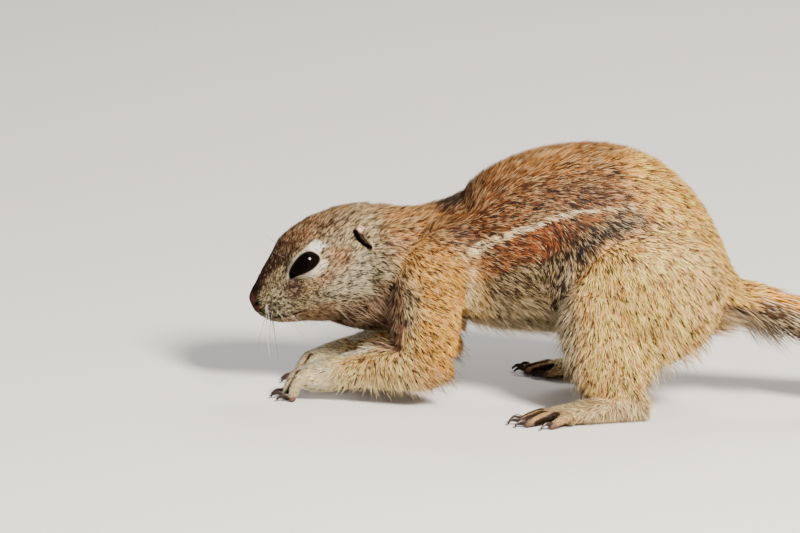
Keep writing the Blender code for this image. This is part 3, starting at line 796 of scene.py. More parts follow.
STRIPE = [
    (-19, 56.5), (-10, 62), (0.5, 66.5), (8, 70), (16, 73.8), (25, 76.7),
    (33.5, 78.5), (42, 79.7), (50, 80.5),
]
RUFOUS_UNDER = [
    (-20, 47), (-6.5, 50.5), (0, 53.2), (8.5, 56.3), (17, 59.8), (25, 64.5),
    (33, 72.5), (41, 77.5), (50, 79.5),
]
HAUNCH_EDGE = [
    (23, 41), (24.2, 51), (26.2, 58), (28.4, 63.2), (31, 67.8), (34.5, 71.4),
    (39.5, 74.4), (46.5, 76.2), (55, 76.6), (64, 76),
]


def height_on(x, line):
    line = np.asarray(line, float)
    return np.interp(x, line[:, 0], line[:, 1])


def blob(x, y, centre, radii, soft=0.5):
    """1 within an ellipse and 0 outside it, with a soft border."""
    gap = np.hypot((x - centre[0]) / radii[0], (y - centre[1]) / radii[1])
    return fall(gap, 1 - soft, 1 + soft)


class Paint:
    """Colour in sRGB, and the shares of dark and of pale tips, built up patch by patch."""

    def __init__(self, count):
        self.colour = np.zeros((count, 3))
        self.dark = np.zeros(count)
        self.pale = np.zeros(count)

    def lay(self, mask, colour, dark, pale):
        mask = np.clip(mask, 0, 1)
        self.colour = mixed(self.colour, colour, mask)
        self.dark = mixed(self.dark, dark, mask)
        self.pale = mixed(self.pale, pale, mask)


def paint_body(paint, points):
    x, out, z = side_view(points)
    real_z = points[:, 2]
    wobble = waves(points, 9, 5) * 1.1
    x, z = x + wobble * 0.6, z + wobble * 0.5
    paint.lay(np.ones(len(x)), (120, 71, 32), 0.40, 0.22)
    paint.lay(ramp(z, 84, 98), (156, 101, 44), 0.36, 0.26)
    paint.lay(fall(x, -34, -18), (160, 107, 54), 0.34, 0.28)
    # rump and hip
    paint.lay(ramp(x + 0.35 * (z - 75), 44, 62), (255, 174, 80), 0.34, 0.24)
    # flank under the stripe
    stripe_z = height_on(x, STRIPE)
    under_z = height_on(x, RUFOUS_UNDER)
    on_flank = ramp(x, -22, -12) * fall(x, 40, 48)
    under_line = ramp(z, under_z - 2.5, under_z + 2.5)
    low_flank = (1 - under_line) * ramp(x, -20, -8) * fall(x, 44, 62)
    paint.lay(low_flank, (104, 80, 46), 0.44, 0.30)
    paint.lay(low_flank * fall(z, 36, 46), (146, 124, 88), 0.30, 0.38)
    rufous = under_line * fall(z, stripe_z - 1.0, stripe_z + 2.0) * on_flank
    paint.lay(rufous, (134, 80, 38), 0.40, 0.14)
    paint.lay(rufous * blob(x, z, (14, 64), (16, 8)) * 0.8, (136, 72, 30), 0.38, 0.10)
    half = np.interp(x, [-19, -8, 8, 20, 33, 50], [2.3, 2.0, 1.6, 1.2, 0.7, 0.9])
    gap, _ = line_distance(x, z, STRIPE)
    stripe = fall(gap, half * 0.55, half * 1.25)
    paint.lay(stripe * (0.70 + 0.2 * waves(points, 3, 13)), (240, 218, 172), 0.22, 0.55)
    paint.lay(blob(x, z, (-13, 59), (5, 3), 0.8) * 0.5, (190, 170, 130), 0.40, 0.40)
    # belly and chest
    under = fall(real_z, 29, 36) * fall(out, 24, 30) * ramp(x, -60, -45)
    paint.lay(under, (202, 186, 154), 0.08, 0.40)
    # painted shade: a dark patch in the crease at the nape
    nape_shade = blob(x, real_z, (-23.3, 81.5), (9, 4.5), 0.45) * fall(out, 6, 13)
    paint.lay(nape_shade * 0.9, (46, 34, 28), 0.5, 0.05)
    # tail base: golden above, a dark band under it, pale below
    base = ramp(x, 84, 94)
    paint.lay(base, (255, 178, 84), 0.26, 0.24)
    below = np.interp(x, [86, 98, 108, 122], [48, 44.6, 41.4, 36.2]) - real_z
    paint.lay(base * ramp(below, 0.0, 2.0), (62, 42, 32), 0.5, 0.3)
    paint.lay(base * ramp(below, 5.0, 7.0), (226, 212, 182), 0.1, 0.5)
    # throat and the side of the neck behind the cheek: reddish brown fur, darker still as painted
    # shade
    throat = fall(z, 34, 44) * fall(x, -52, -36) * ramp(real_z, 22, 25)
    paint.lay(throat, (104, 72, 52), 0.34, 0.14)


def paint_limbs(paint, points):
    x, out, z = side_view(points)
    right = points[:, 1] > 0
    real_z = points[:, 2]
    side_x = x - np.where(right, RIGHT_HIND_SHIFT, 0.0)
    # haunch: golden, grizzled, with a dark patch inside its pale front edge
    hip = np.hypot((side_x - 58) / 36, (real_z - 50) / 33)
    thigh = fall(hip, 0.86, 1.04) * ramp(out, 17, 25)
    leg = ramp(side_x, 20, 26) * fall(side_x, 88, 96) * fall(real_z, 34, 40) * ramp(out, 16, 20)
    edge, place = line_distance(side_x, z, HAUNCH_EDGE)
    inner = inside(side_x, z, HAUNCH_EDGE + [(80, 60), (60, 20), (25, 20)])
    deep = np.where(inner, edge, -edge) + 0.5 * waves(points, 4, 17)
    outer = ramp(out, 14, 19)
    both = np.maximum(np.maximum(thigh, leg), ramp(deep, -1.0, 1.5) * outer * fall(side_x, 50, 60))
    paint.lay(both, (255, 184, 98), 0.36, 0.32)
    paint.lay(both * blob(side_x, z, (52, 40), (20, 22), 0.7), (255, 184, 88), 0.34, 0.27)
    pale = bell(deep, 1.1, 0.8) * fall(place, 0.35, 0.6) * outer
    paint.lay(pale * 0.5, (206, 186, 146), 0.3, 0.5)
    dark = ramp(deep, -0.2, 1.6) * fall(deep, 3.0, 13.0) * ramp(place, 0.05, 0.3)
    dark *= fall(place, 0.78, 0.98) * outer
    paint.lay(dark * (0.90 + 0.2 * waves(points, 4, 15)), (76, 62, 50), 0.72, 0.26)
    # painted shade: the flank darkened along the haunch's front edge, where the thigh shades it
    crease = bell(deep, 1.8, -1.6) * fall(place, 0.35, 0.5) * ramp(out, 12, 17)
    paint.lay(crease * 0.85, (84, 60, 38), 0.5, 0.10)
    front = fall(side_x - 0.12 * (60 - z), 24, 33) * fall(z, 52, 62)
    paint.lay(front * both * 0.9, (140, 130, 110), 0.48, 0.38)
    paint.lay(leg * fall(real_z, 6, 18), (252, 192, 110), 0.24, 0.32)
    # forelimb
    fore_x = x - np.where(right, RIGHT_FORE_SHIFT, 0.0)
    arm = blob(fore_x, z, (-26, 34), (18, 26), 0.36) * ramp(out, 13, 19)
    paint.lay(arm, (212, 144, 56), 0.36, 0.16)
    paint.lay(arm * ramp(fore_x, -26, -14), (230, 156, 66), 0.20, 0.15)
    elbow_front = blob(fore_x, z, (-39.5, 35), (6.5, 15), 0.6) * ramp(out, 9, 12)
    paint.lay(elbow_front * 0.8, (160, 144, 116), 0.46, 0.34)
    paint.lay(arm * ramp(fore_x, -17.0, -13.5) * 0.8, (222, 198, 152), 0.10, 0.5)
    forearm = ramp(-fore_x, 26, 38) * fall(z, 24, 29) * ramp(out, 5, 9)
    paint.lay(forearm, (240, 180, 102), 0.34, 0.30)
    low = fall(z, 5, 13) * fall(fore_x, -12, -4)
    paint.lay(np.maximum(forearm, arm) * low, (240, 196, 126), 0.22, 0.40)
    ridge, _ = line_distance(fore_x, z, [(-46.0, 21.0), (-61.0, 16.8)])
    paint.lay(forearm * fall(ridge, 1.4, 3.2) * fall(fore_x, -46, -41), (240, 226, 194), 0.10, 0.5)
    paw = ramp(-fore_x, 58, 70) * fall(z, 19, 24) * ramp(out, 5, 8)
    paint.lay(paw, (255, 236, 188), 0.08, 0.4)
    foot = fall(real_z, 8, 12) * ramp(out, 14, 20) * ramp(side_x, 0, 4) * fall(side_x, 56, 66)
    paint.lay(foot, (220, 186, 134), 0.14, 0.34)
    # painted shade: dark between the digits, where they shade each other
    for _, _, _, paths, _ in feet():
        for one, other in zip(paths, paths[1:]):
            start, end = (np.array((one[k] + other[k]) / 2) for k in (1, 3))
            gap = np.linalg.norm(from_segment(points, start, end)[1], axis=1)
            paint.lay(fall(gap, 2.0, 2.7) * 0.95, (50, 34, 26), 0.3, 0.0)


def paint_head(paint, points):
    along, up = head_view(points)
    out = np.abs(points[:, 1])
    wobble = waves(points, 5, 8) * 0.7
    along, up = along + wobble, up + wobble * 0.7
    head = fall(along - 0.25 * up, 56, 66)
    head *= (points[:, 0] < -38) * ramp(points[:, 2], 23.5, 25.0)
    crown_line = np.interp(along, [0, 8, 18, 30, 45, 60], [3, 2, 3, 6, 3, -1])
    paint.lay(head, (158, 136, 98), 0.38, 0.34)
    crown = ramp(up, crown_line - 1.5, crown_line + 2.5) * head
    paint.lay(crown, (138, 100, 64), 0.46, 0.34)
    paint.lay(crown * blob(along, up, (30, 12), (12, 6), 0.7), (132, 86, 52), 0.40, 0.24)
    paint.lay(crown * ramp(along, 46, 56), (164, 128, 84), 0.36, 0.34)
    # cream round the ear, and a band behind the cheek
    paint.lay(head * blob(along, up, (54, -3), (8, 9), 0.6), (162, 136, 94), 0.40, 0.36)
    # cheek
    paint.lay(head * blob(along, up, (38, -14), (14, 8), 0.6), (160, 148, 122), 0.38, 0.42)
    cheekbone = head * blob(along, up, (39.5, -5.5), (4.2, 4.0), 0.8)
    paint.lay(cheekbone * 0.8, (156, 98, 50), 0.36, 0.16)
    paint.lay(head * blob(along, up, (29, -9), (9, 2.6), 0.8) * 0.6, (160, 108, 66), 0.30, 0.18)
    # muzzle
    muzzle = head * fall(along, 13, 21)
    paint.lay(muzzle, (126, 108, 78), 0.44, 0.38)
    # painted shade: a dark spot in the groove between the cheek and the muzzle
    paint.lay(head * blob(along, up, (17.5, -6), (4.0, 3.4), 0.7) * 0.85, (82, 54, 42), 0.40, 0.04)
    paint.lay(muzzle * blob(along, up, (7, -8), (6, 5.5), 0.6), (168, 156, 122), 0.32, 0.38)
    # the nose bridge: dark brown fur, darker still as painted shade, and darkest near the nose
    bridge = head * fall(along, 12, 32)
    bridge_line = np.interp(along, [0, 4, 10, 20], [-3.5, 0.2, 2.6, 4.5])
    bridge *= ramp(up - bridge_line, -0.9, 1.2)
    paint.lay(bridge, (78, 46, 34), 0.34, 0.08)
    paint.lay(bridge * fall(along, 4, 10), (54, 34, 28), 0.40, 0.02)
    # rows of dark whisker roots
    for row in range(4):
        for spot in range(4):
            centre = (4.6 + 2.3 * spot + 0.6 * row, -4.6 - 2.1 * row)
            root = blob(along, up, centre, (0.75, 0.55), 0.6)
            paint.lay(muzzle * root * 0.75, (58, 38, 28), 0.5, 0.0)
    paint.colour = mixed(paint.colour, paint.colour * [0.85, 0.85, 0.84], head)
    # under lip; the throat, reddish brown fur darker still as painted shade
    jaw = head * fall(up + 0.28 * along, -12.0, -9.5)
    jaw *= fall(up, -14.5, -12.0)
    paint.lay(jaw * fall(along, 22, 34), (146, 112, 78), 0.20, 0.24)
    paint.lay(head * fall(up, -26, -20), (110, 76, 54), 0.30, 0.16)
    paint.lay(head * blob(along, up, (52.7, 0.0), (1.9, 1.4), 0.4), (228, 186, 156), 0.0, 0.2)
    # white round the eye
    gap = opening_distance(points)
    ring = fall(np.abs(gap - 1.0), 0.5, 1.1) * (out > EYE_SIDE)
    below = ramp(-up, 1.5, 3.0) * fall(along, 33, 36) * ramp(along, 19.5, 22)
    reach, share = line_distance(along, up, [(30.0, 4.9), (33.6, 4.2), (37.0, 1.0)])
    patch = fall(reach / np.interp(share, [0, 0.5, 1], [0.6, 1.4, 0.8]), 0.6, 1.5)
    thin = fall(np.abs(gap - 0.7), 0.2, 0.6) * (up > -1) * (out > EYE_SIDE)
    white = np.clip(np.maximum.reduce([ring * below, patch * (gap > 0.1), thin * 0.9]), 0, 1)
    paint.lay(white, (208, 198, 178), 0.14, 0.3)
    paint.lay(white * blob(along, up, (34.0, 3.6), (4.4, 2.6), 0.4), (232, 226, 212), 0.06, 0.3)
    strip = fall(np.abs(gap - 2.2), 0.8, 1.8) * below * ramp(along, 22, 28) * 0.6
    paint.lay(strip, (226, 216, 192), 0.04, 0.3)


def paint_coat(points):
    paint = Paint(len(points))
    paint_body(paint, points)
    paint_limbs(paint, points)
    paint_head(paint, points)
    return paint


UNDERFUR = [0.62, 0.56, 0.50]  # its red, green and blue, as shares of the coat's


def paint_skin(points):
    """The bare skin and, darker than the tips, the underfur between the tufts."""
    colour = paint_coat(points).colour * UNDERFUR
    along, up = head_view(points)
    x, out, _ = side_view(points)
    on_head = (points[:, 0] < HEAD_END) & (along > -4) & (along < 64)
    gap = opening_distance(points)
    lip, mouth_place = line_distance(along, up, MOUTH_LINE)
    slit, ear_place = line_distance(along, up, EAR_SLIT)
    split = bell(out, 0.45) * fall(along, 3, 4) * fall(up, -4, -3)
    nostril = bell(nostril_distance(along, up), 1.0) * ramp(out, 1.0, 1.8)
    ear_rim = bell(slit, 0.9, 2.0) * (out > EAR_SIDE) * ramp(along, 50.8, 52.0)
    width = np.interp(ear_place, [0, 0.2, 1], [1.4, 1.8, 1.0])
    ear = np.exp(-((slit / width) ** 4)) * (out > EAR_SIDE)
    # Of these, the nostril, the cleft of the upper lip, the mouth's line and the ear's opening are
    # painted shade, dark as their depth would shade them.
    for share, shade in (
        (fall(gap, 0.0, 0.35) * (out > EYE_SIDE), (9, 6, 6)),  # the lids and the tear duct
        (bell(gap, 0.3, 0.7) * (out > EYE_SIDE) * 0.7, (196, 178, 158)),  # their pale rim
        (fall(along - 0.12 * up, 1.8, 3.6) * ramp(up, -6.0, -4.5), (66, 38, 30)),  # nose
        (split, (30, 18, 15)),  # of the upper lip
        (nostril * 1.5, (12, 8, 7)),
        (bell(lip, 0.6) * ramp(1 - mouth_place, 0, 0.2), (46, 26, 20)),  # the mouth's line
        (ear_rim * 1.2, (206, 172, 144)),
        (ear, (34, 21, 16)),
    ):
        colour = mixed(colour, shade, np.clip(on_head * share, 0, 1))
    # bare digits and soles
    for path in digits_of_feet():
        bare = fall(distance(points, path[-1]), 1.6, 3.0)
        colour = mixed(colour, (92, 66, 54), bare * 0.9)
    sole = fall(points[:, 2], 0.4, 1.6) * (x < 70)
    return linear(mixed(colour, (96, 72, 62), sole))


# --- tufts ---


AT_ONCE = 40000  # places handled together, to save memory
ROOT_DEPTH = 0.25  # how far a tuft starts inside the skin
TIP_HEIGHT = 0.15  # how far tips stay above the floor
TUFT_HIGH, TUFT_ROUND = 0.55, 0.4  # height of a tuft's section, and how its normals spread
UV_SPOT = 0.0015  # half the size of a tuft's spot on the OFBake map
UV_MARGIN = 0.02  # the map's border, which the spots leave free
DARK_TIP, PALE_TIP = [10, 5, 3], [138, 124, 98]  # what such tips add to a share of the colour
ROOT_SHADE = [0.32, 0.27, 0.23]  # a root's red, green and blue as shares of its colour


def strokes(points):
    """How the coat lies at some places: a way, a length and a lift, from the combs."""
    head = [(head_point(*place), head_way(*way), *rest) for place, way, *rest in HEAD_COMB]
    places, ways, lengths, lifts = zip(*head, *COMB)
    places, ways = np.array(places, float), unit(np.array(ways, float))
    right = points[:, 1] > 0
    half = folded(points)
    half[:, 0] -= np.where(right & (half[:, 2] < 55), 3.0, 0.0) * ramp(half[:, 1], 12, 20)
    way = np.zeros((len(points), 3))
    length, lift = np.zeros(len(points)), np.zeros(len(points))
    for start in range(0, len(points), AT_ONCE):
        part = slice(start, start + AT_ONCE)
        gap = ((half[part, None] - places[None]) ** 2).sum(2)
        weight = 1 / (gap + 9.0) ** 2.2
        weight /= weight.sum(1, keepdims=True)
        way[part] = weight @ ways
        length[part] = weight @ np.array(lengths)
        lift[part] = weight @ np.array(lifts)
    way[:, 1] *= np.where(right, 1.0, -1.0)
    return way, length, lift


class Skin:
    """The skin's triangles, ready to grow tufts from."""

    def __init__(self, obj):
        mesh = obj.data
        mesh.calc_loop_triangles()
        self.points = coordinates(mesh)
        self.normals = normals_of(mesh)
        corners = np.empty(len(mesh.loop_triangles) * 3, np.int32)
        mesh.loop_triangles.foreach_get("vertices", corners)
        self.corners = corners.reshape(-1, 3)
        a, b, c = (self.points[self.corners[:, k]] for k in range(3))
        self.areas = np.linalg.norm(np.cross(b - a, c - a), axis=1) / 2
        self.centres = (a + b + c) / 3

    def roots(self, weights, count, rng):
        """Even random places on the skin: the place and the normal there."""
        cells = np.floor((self.centres + 500) / 1.5).astype(np.int64)
        order = np.lexsort((cells[:, 1], cells[:, 2], cells[:, 0]))
        share = np.cumsum((self.areas * weights)[order])
        picks = (np.arange(count) + rng.random(count)) / count * share[-1]
        chosen = order[np.minimum(np.searchsorted(share, picks), len(order) - 1)]
        u, v = rng.random(count), rng.random(count)
        over = u + v > 1
        u, v = np.where(over, 1 - u, u), np.where(over, 1 - v, v)
        w = np.stack([1 - u - v, u, v], 1)[:, :, None]
        corners = self.corners[chosen]
        return (self.points[corners] * w).sum(1), unit((self.normals[corners] * w).sum(1))


def unwrapped(points, path):
    """A place on the skin as (along a path, round it), each from 0 to 1."""
    path = np.asarray(path, float)
    lengths = np.concatenate([[0], np.cumsum(np.linalg.norm(np.diff(path, axis=0), axis=1))])
    best = np.full(len(points), 1e18)
    along = np.zeros(len(points))
    arm = np.zeros((len(points), 3))
    for i, (start, end) in enumerate(zip(path, path[1:])):
        share, away = from_segment(points, start, end)
        gap = (away**2).sum(1)
        closer = gap < best
        best = np.where(closer, gap, best)
        along = np.where(closer, lengths[i] + share * (lengths[i + 1] - lengths[i]), along)
        arm = np.where(closer[:, None], away, arm)
    turn = np.arctan2(arm[:, 1], arm[:, 2] + 0.3 * arm[:, 0]) / (2 * math.pi) + 0.5
    return on_map(along / lengths[-1], turn)


def on_map(across, up):
    """Shares from 0 to 1 as places on the OFBake map, clear of its edges."""
    return UV_MARGIN + (1 - 2 * UV_MARGIN) * np.stack([across, up], 1)


def build_tufts(name, finish, levels, side, up, widths, colours, normals, patch):
    """One mesh of closed tufts. Levels are the middles from root to tip, and a tuft's section
    is a flat triangle that narrows to the tip."""
    count, rings = len(levels[0]), len(levels) - 1
    per = rings * 3 + 1
    points, shades, facing = (np.empty((count, per, 3)) for _ in range(3))
    places = np.empty((count, per, 2))
    for ring in range(rings):
        wide = widths[ring][:, None]
        for k, (aside, high) in enumerate(((-1, 0), (1, 0), (0, TUFT_HIGH))):
            at = ring * 3 + k
            points[:, at] = levels[ring] + side * wide * aside + up * wide * high
            shades[:, at] = colours[ring]
            facing[:, at] = normals + side * TUFT_ROUND * aside
            places[:, at] = patch + UV_SPOT * np.array([aside, 2 * ring / rings - 1])
    points[:, -1], shades[:, -1], facing[:, -1] = levels[-1], colours[-1], normals
    places[:, -1] = patch + [0.0, UV_SPOT]
    faces = [(0, 1, 2)]
    for a in range(0, per - 1, 3):
        for p, q in ((a, a + 2), (a + 2, a + 1), (a + 1, a)):
            if a + 3 < per - 1:
                faces += [(p, q, q + 3), (p, q + 3, p + 3)]
            else:
                faces.append((p, q, per - 1))
    faces = np.array(faces)[None] + (np.arange(count) * per)[:, None, None]
    corners = faces.reshape(-1)
    mesh = bpy.data.meshes.new(name)
    mesh.vertices.add(count * per)
    move_vertices(mesh, put_in_row(points.reshape(-1, 3)))
    mesh.loops.add(len(corners))
    mesh.loops.foreach_set("vertex_index", corners.astype(np.int32))
    mesh.polygons.add(len(corners) // 3)
    mesh.polygons.foreach_set("loop_start", np.arange(0, len(corners), 3, dtype=np.int32))
    mesh.update(calc_edges=True)
    layer = mesh.uv_layers.new(name="OFBake")
    flat = np.clip(places.reshape(-1, 2), 0.001, 0.999)[corners]
    layer.data.foreach_set("uv", flat.astype(np.float32).ravel())
    colour_vertices(mesh, shades.reshape(-1, 3))
    mesh.shade_smooth()
    mesh.normals_split_custom_set_from_vertices(unit(facing.reshape(-1, 3)).astype(np.float32))
    mesh.materials.append(finish)
    obj = added(name, mesh)
    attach(obj, "root")


def locks_of(points, way, rng):
    """The lock that each tuft belongs to: of the nearest few, the one most in line with it."""
    heads = rng.choice(len(points), len(points) // 3, replace=False)
    tree = KDTree(len(heads))
    for number, place in enumerate(points[heads].tolist()):
        tree.insert(place, number)
    tree.balance()
    near = np.array([[hit[1] for hit in tree.find_n(place, 4)] for place in points.tolist()])
    gap = points[:, None] - points[heads][near]
    along = (gap * way[:, None]).sum(2)
    across = (gap**2).sum(2) - 0.9 * along**2
    return near[np.arange(len(points)), across.argmin(1)]


def tuft_colours(points, way, rng, paler):
    """Root and tip colours: agouti hair, with some dark and some pale tips."""
    paint = paint_coat(points)
    count = len(points)
    lock = locks_of(points, way, rng)
    colour = paint.colour * (1 + 0.07 * waves(points, 7, 21))[:, None]
    colour = colour * rng.normal(1.0, 0.13, count)[lock][:, None]
    colour = colour * rng.normal(1.0, 0.09, (count, 1))
    chance = np.where(rng.random(count) < 0.75, rng.random(count)[lock], rng.random(count))
    chance -= 0.08 * waves(points, 2.5, 31)
    dark = chance < paint.dark * (1 - paler)
    pale = (chance > 1 - paint.pale - paler) & ~dark
    tip = colour * 1.12
    tip = np.where(dark[:, None], colour * 0.20 + DARK_TIP, tip)
    tip = np.where(pale[:, None], colour * 0.45 + PALE_TIP, tip)
    root = colour * ROOT_SHADE
    root = np.where(pale[:, None], colour * 0.62, root)
    return linear(root), linear(tip)


def bare_room(points):
    """The longest tuft that doesn't cross an eye, an ear slit, the mouth or a digit."""
    along, up = head_view(points)
    out = np.abs(points[:, 1])
    room = np.full(len(points), 99.0)
    near = (points[:, 0] < HEAD_END) & (points[:, 2] > 24)

    def limit(where, length):
        room[where] = np.minimum(room, length)[where]

    limit(near & (out > EYE_SIDE), 0.7 + 0.75 * opening_distance(points))
    slit, _ = line_distance(along, up, EAR_SLIT)
    limit(near & (out > EAR_SIDE), np.maximum(slit - 0.3, 0.7))
    for path in digits_of_feet():
        _, arm = from_segment(points, path[1], path[-1])
        limit(np.linalg.norm(arm, axis=1) < 3.2, 1.1)
    limit(near & (out > EAR_SIDE) & (np.hypot(along - 52.7, up) < 1.8), 0.9)  # the ear's nub
    lip, _ = line_distance(along, up, MOUTH_LINE)
    limit(near, np.maximum(1.3, lip + 0.4))
    return room


def grow(skin, finish, name, path, weights, count, wide, seed, stretch=1.0, lift_more=0, paler=0):
    """A piece of coat on the part of the skin where weights are above 0. The tufts of a paler
    piece differ more in length, and bend."""
    rng = np.random.default_rng(seed)
    place, normal = skin.roots(weights, count, rng)
    way, length, lift = strokes(place)
    swirl = waves(place, 9, 41) * 0.08 + waves(place, 2.5, 43) * 0.08 + rng.normal(0, 0.14, count)
    way = unit(way - normal * (way * normal).sum(1, keepdims=True))
    across = np.cross(normal, way)
    way = unit(way * np.cos(swirl)[:, None] + across * np.sin(swirl)[:, None])
    lift = np.radians(lift + lift_more + waves(place, 4, 47) * 4 + rng.normal(0, 4, count))
    spread = (0.60, 1.55) if paler else (0.70, 1.15)
    length = length * stretch * rng.uniform(*spread, count) * (1 + 0.06 * waves(place, 5, 53))
    length = np.minimum(length, bare_room(place))
    ahead = way * np.cos(lift)[:, None] + normal * np.sin(lift)[:, None]
    up = normal * np.cos(lift)[:, None] - way * np.sin(lift)[:, None]
    side = np.cross(ahead, up)
    root = place - normal * ROOT_DEPTH
    tip = place + ahead * length[:, None]
    tip[:, 2] = np.maximum(tip[:, 2], TIP_HEIGHT)
    width = wide * rng.uniform(0.8, 1.25, count)
    dark, light = tuft_colours(place, way, rng, paler)
    if paler:
        middle = (root + tip) / 2 + up * (length * 0.10)[:, None]
        levels = [root, middle, tip]
        widths = [width, width * 0.72]
        colours = [dark, (dark + light * 2) / 3, light]
    else:
        levels, widths, colours = [root, tip], [width], [dark, light]
    patch = unwrapped(place, path)
    facing = unit(normal * 0.9 + ahead * 0.1)
    build_tufts(name, finish, levels, side, up, widths, colours, facing, patch)


# --- tail, whiskers, eyes and claws ---


BUFF, BLACK, WHITE = (216, 148, 62), (42, 28, 20), (230, 206, 164)  # bands of the tail's hair


def grow_tail(name, finish, count, seed, start, end):
    """The brush: long banded hair from the core between two places along x, all the way round."""
    rng = np.random.default_rng(seed)
    rows = [(*row, core) for row, core in zip(TAIL_STATIONS, TAIL_CORE)]
    rows = np.array([list(row) for row in interpolated(rows, 12)])
    steps = np.linalg.norm(np.diff(rows[:, :3], axis=0), axis=1)
    lengths = np.concatenate([[0], np.cumsum(steps)])
    half_width, half_height, core = 3, 4, 5  # columns of rows
    first, last = np.interp([start, end], rows[:, 0], lengths)
    inner = (lengths >= first) & (lengths <= last)
    around = rows[:, half_width] + rows[:, half_height]
    share = np.cumsum(np.where(inner, around, 0.0) * np.gradient(lengths))
    picks = (np.arange(count) + rng.random(count)) / count
    where = np.interp(picks * share[-1], share, lengths)
    rng.shuffle(where)
    angle = rng.uniform(0, 2 * math.pi, count)
    angle -= 0.22 * np.sin(2 * angle)

    def at(distance, column):
        return np.interp(distance, lengths, rows[:, column])

    def centre(distance):
        return np.stack([at(distance, k) for k in range(3)], 1)

    def spread(distance, wide, high):
        """An arm across the tail at a distance along it."""
        along = unit(centre(distance + 1.0) - centre(distance - 1.0))
        aside = unit(np.array([0, 1.0, 0]) - along * along[:, 1:2])
        upward = np.cross(along, aside)
        return aside * (np.cos(angle) * wide)[:, None] + upward * (np.sin(angle) * high)[:, None]

    out = spread(where, 1.0, 1.0)
    root = centre(where) + out * (at(where, core) - 0.4)[:, None]
    length = np.clip(at(where, half_width) * 1.05 + 2.0, 6.5, 22)
    length = length * rng.uniform(0.70, 1.10, count)
    to_go = np.minimum(length * 0.84, np.maximum(lengths[-1] + 3.0 - where, 2.0))
    ahead = where + to_go
    reach = rng.uniform(0.45, 1.0, count) ** 0.6
    reach = reach * (1 + 0.10 * waves(np.stack([where, angle * 8, where * 0], 1), 9, seed))
    brush = spread(ahead, at(ahead, half_width), at(ahead, half_height))
    tip = centre(ahead) + brush * reach[:, None]
    tip[:, 2] = np.maximum(tip[:, 2], rng.uniform(0.2, 1.2, count))
    span = tip - root
    bow = out * (np.linalg.norm(span, axis=1) * 0.07)[:, None]
    first_mid, second_mid = root + span * 0.36 + bow, root + span * 0.70 + bow * 0.8
    for middle in (first_mid, second_mid):
        middle[:, 2] = np.maximum(middle[:, 2], 0.35)
    way = unit(span)
    side = unit(np.cross(way, out))
    up = np.cross(side, way)
    # Buff at the root, black past the middle and a white tip, but more buff on top.
    buff, black, white = (
        np.array(colour) * rng.normal(1, differ, (count, 1))
        for colour, differ in ((BUFF, 0.12), (BLACK, 0.2), (WHITE, 0.05))
    )
    near_base = fall(at(where, 0), 112, 140)
    buff_top = np.clip(ramp(np.sin(angle), 0.15, 0.8) * (0.55 + 0.45 * near_base), 0, 1)
    first_colour = mixed(mixed(buff * 0.62, black, np.full(count, 0.45)), buff, buff_top)
    second_colour = mixed(black, buff * 0.9, buff_top * (rng.random(count) < 0.75))
    pale = rng.random(count) < 0.66 - 0.38 * buff_top
    tip_colour = np.where(pale[:, None], white, mixed(black, buff, buff_top))
    long_tip = (rng.random(count) < 0.22) & pale
    second_colour = np.where(long_tip[:, None], white * 0.85, second_colour)
    half = rng.uniform(0.16, 0.28, count)
    colours = [linear(c) for c in (buff * 0.6, first_colour, second_colour, tip_colour)]
    patch = on_map((where - first) / (last - first), angle / (2 * math.pi))
    patch = np.clip(patch, UV_MARGIN, 1 - UV_MARGIN)
    build_tufts(name, finish, [root, first_mid, second_mid, tip], side, up,
                [half, half, half * 0.7], colours, unit(out + up * 0.3), patch)


def make_whiskers(finish, skin):
    """Whiskers of muzzle, brow, cheek and chin, each a bent tapering bristle."""
    rng = np.random.default_rng(5)
    beds = [  # along, up and out of the bed, its spread, count, way, length, sag, share of dark
        ((8.0, -6.0, 8.0), (2.6, 2.6), 11, (-0.25, -0.35, 1.0), (16, 30), 0.22, 0.5),
        ((10.0, -10.5, 8.0), (2.6, 1.6), 8, (0.45, -0.75, 0.6), (12, 24), 0.20, 0.2),
        ((22.0, 8.6, 9.5), (1.4, 0.5), 3, (-0.55, 0.75, 0.5), (14, 24), -0.15, 0.9),
        ((34.0, -20.0, 14.0), (6.0, 4.0), 9, (0.5, -0.9, 0.3), (9, 20), 0.10, 0.0),
        ((12.0, -17.0, 4.0), (6.0, 0.8), 10, (0.3, -1.0, 0.15), (5, 11), 0.05, 0.1),
    ]
    shares = np.linspace(0, 1, 8)
    found = []
    for side in (-1, 1):
        for place, spread, count, way, reach, sag, shade in beds:
            for _ in range(count):
                along = place[0] + rng.uniform(-1, 1) * spread[0]
                up = place[1] + rng.uniform(-1, 1) * spread[1]
                bed = np.array(head_point(along, up, side * place[2]))
                near = np.argmin(((skin.points - bed) ** 2).sum(1))
                root = skin.points[near] - skin.normals[near] * 0.4
                turn = rng.normal(0, 0.16, 3)
                ahead = unit(head_way(way[0], way[1], side * way[2]) + turn)
                length = rng.uniform(*reach)
                bend = np.array([0.35, 0, -1.0]) * sag * length
                path = [root + ahead * length * t + bend * t * t for t in shares]
                found.append((path, rng.uniform(0.10, 0.15), rng.random() < shade))
    paths, widths, dark = (np.array(column) for column in zip(*found))
    levels = paths.transpose(1, 0, 2)
    roots = levels[0].copy()
    levels[:, :, 2] = np.maximum(levels[:, :, 2], 0.6)
    way = unit(levels[-1] - levels[0])
    side = unit(np.cross(way, np.array([0.1, 0.2, 1.0])))
    up = np.cross(side, way)
    shade = np.where(dark[:, None], [40.0, 28, 22], [196.0, 184, 164])
    shades = [linear(shade * (0.8 + 0.2 * t)) for t in shares]
    rings = [widths * (1 - 0.85 * t) for t in shares[:-1]]
    patch = unwrapped(roots, [head_point(-2, -4), head_point(40, -6)])
    build_tufts("whiskers", finish, list(levels), side, up, rings, shades, up, patch)


PUPIL_EDGE, IRIS_EDGE = (27, 31), (50, 56)  # in degrees from the eye's axis
CORNEA_BULGE = 0.012  # as a share of the radius


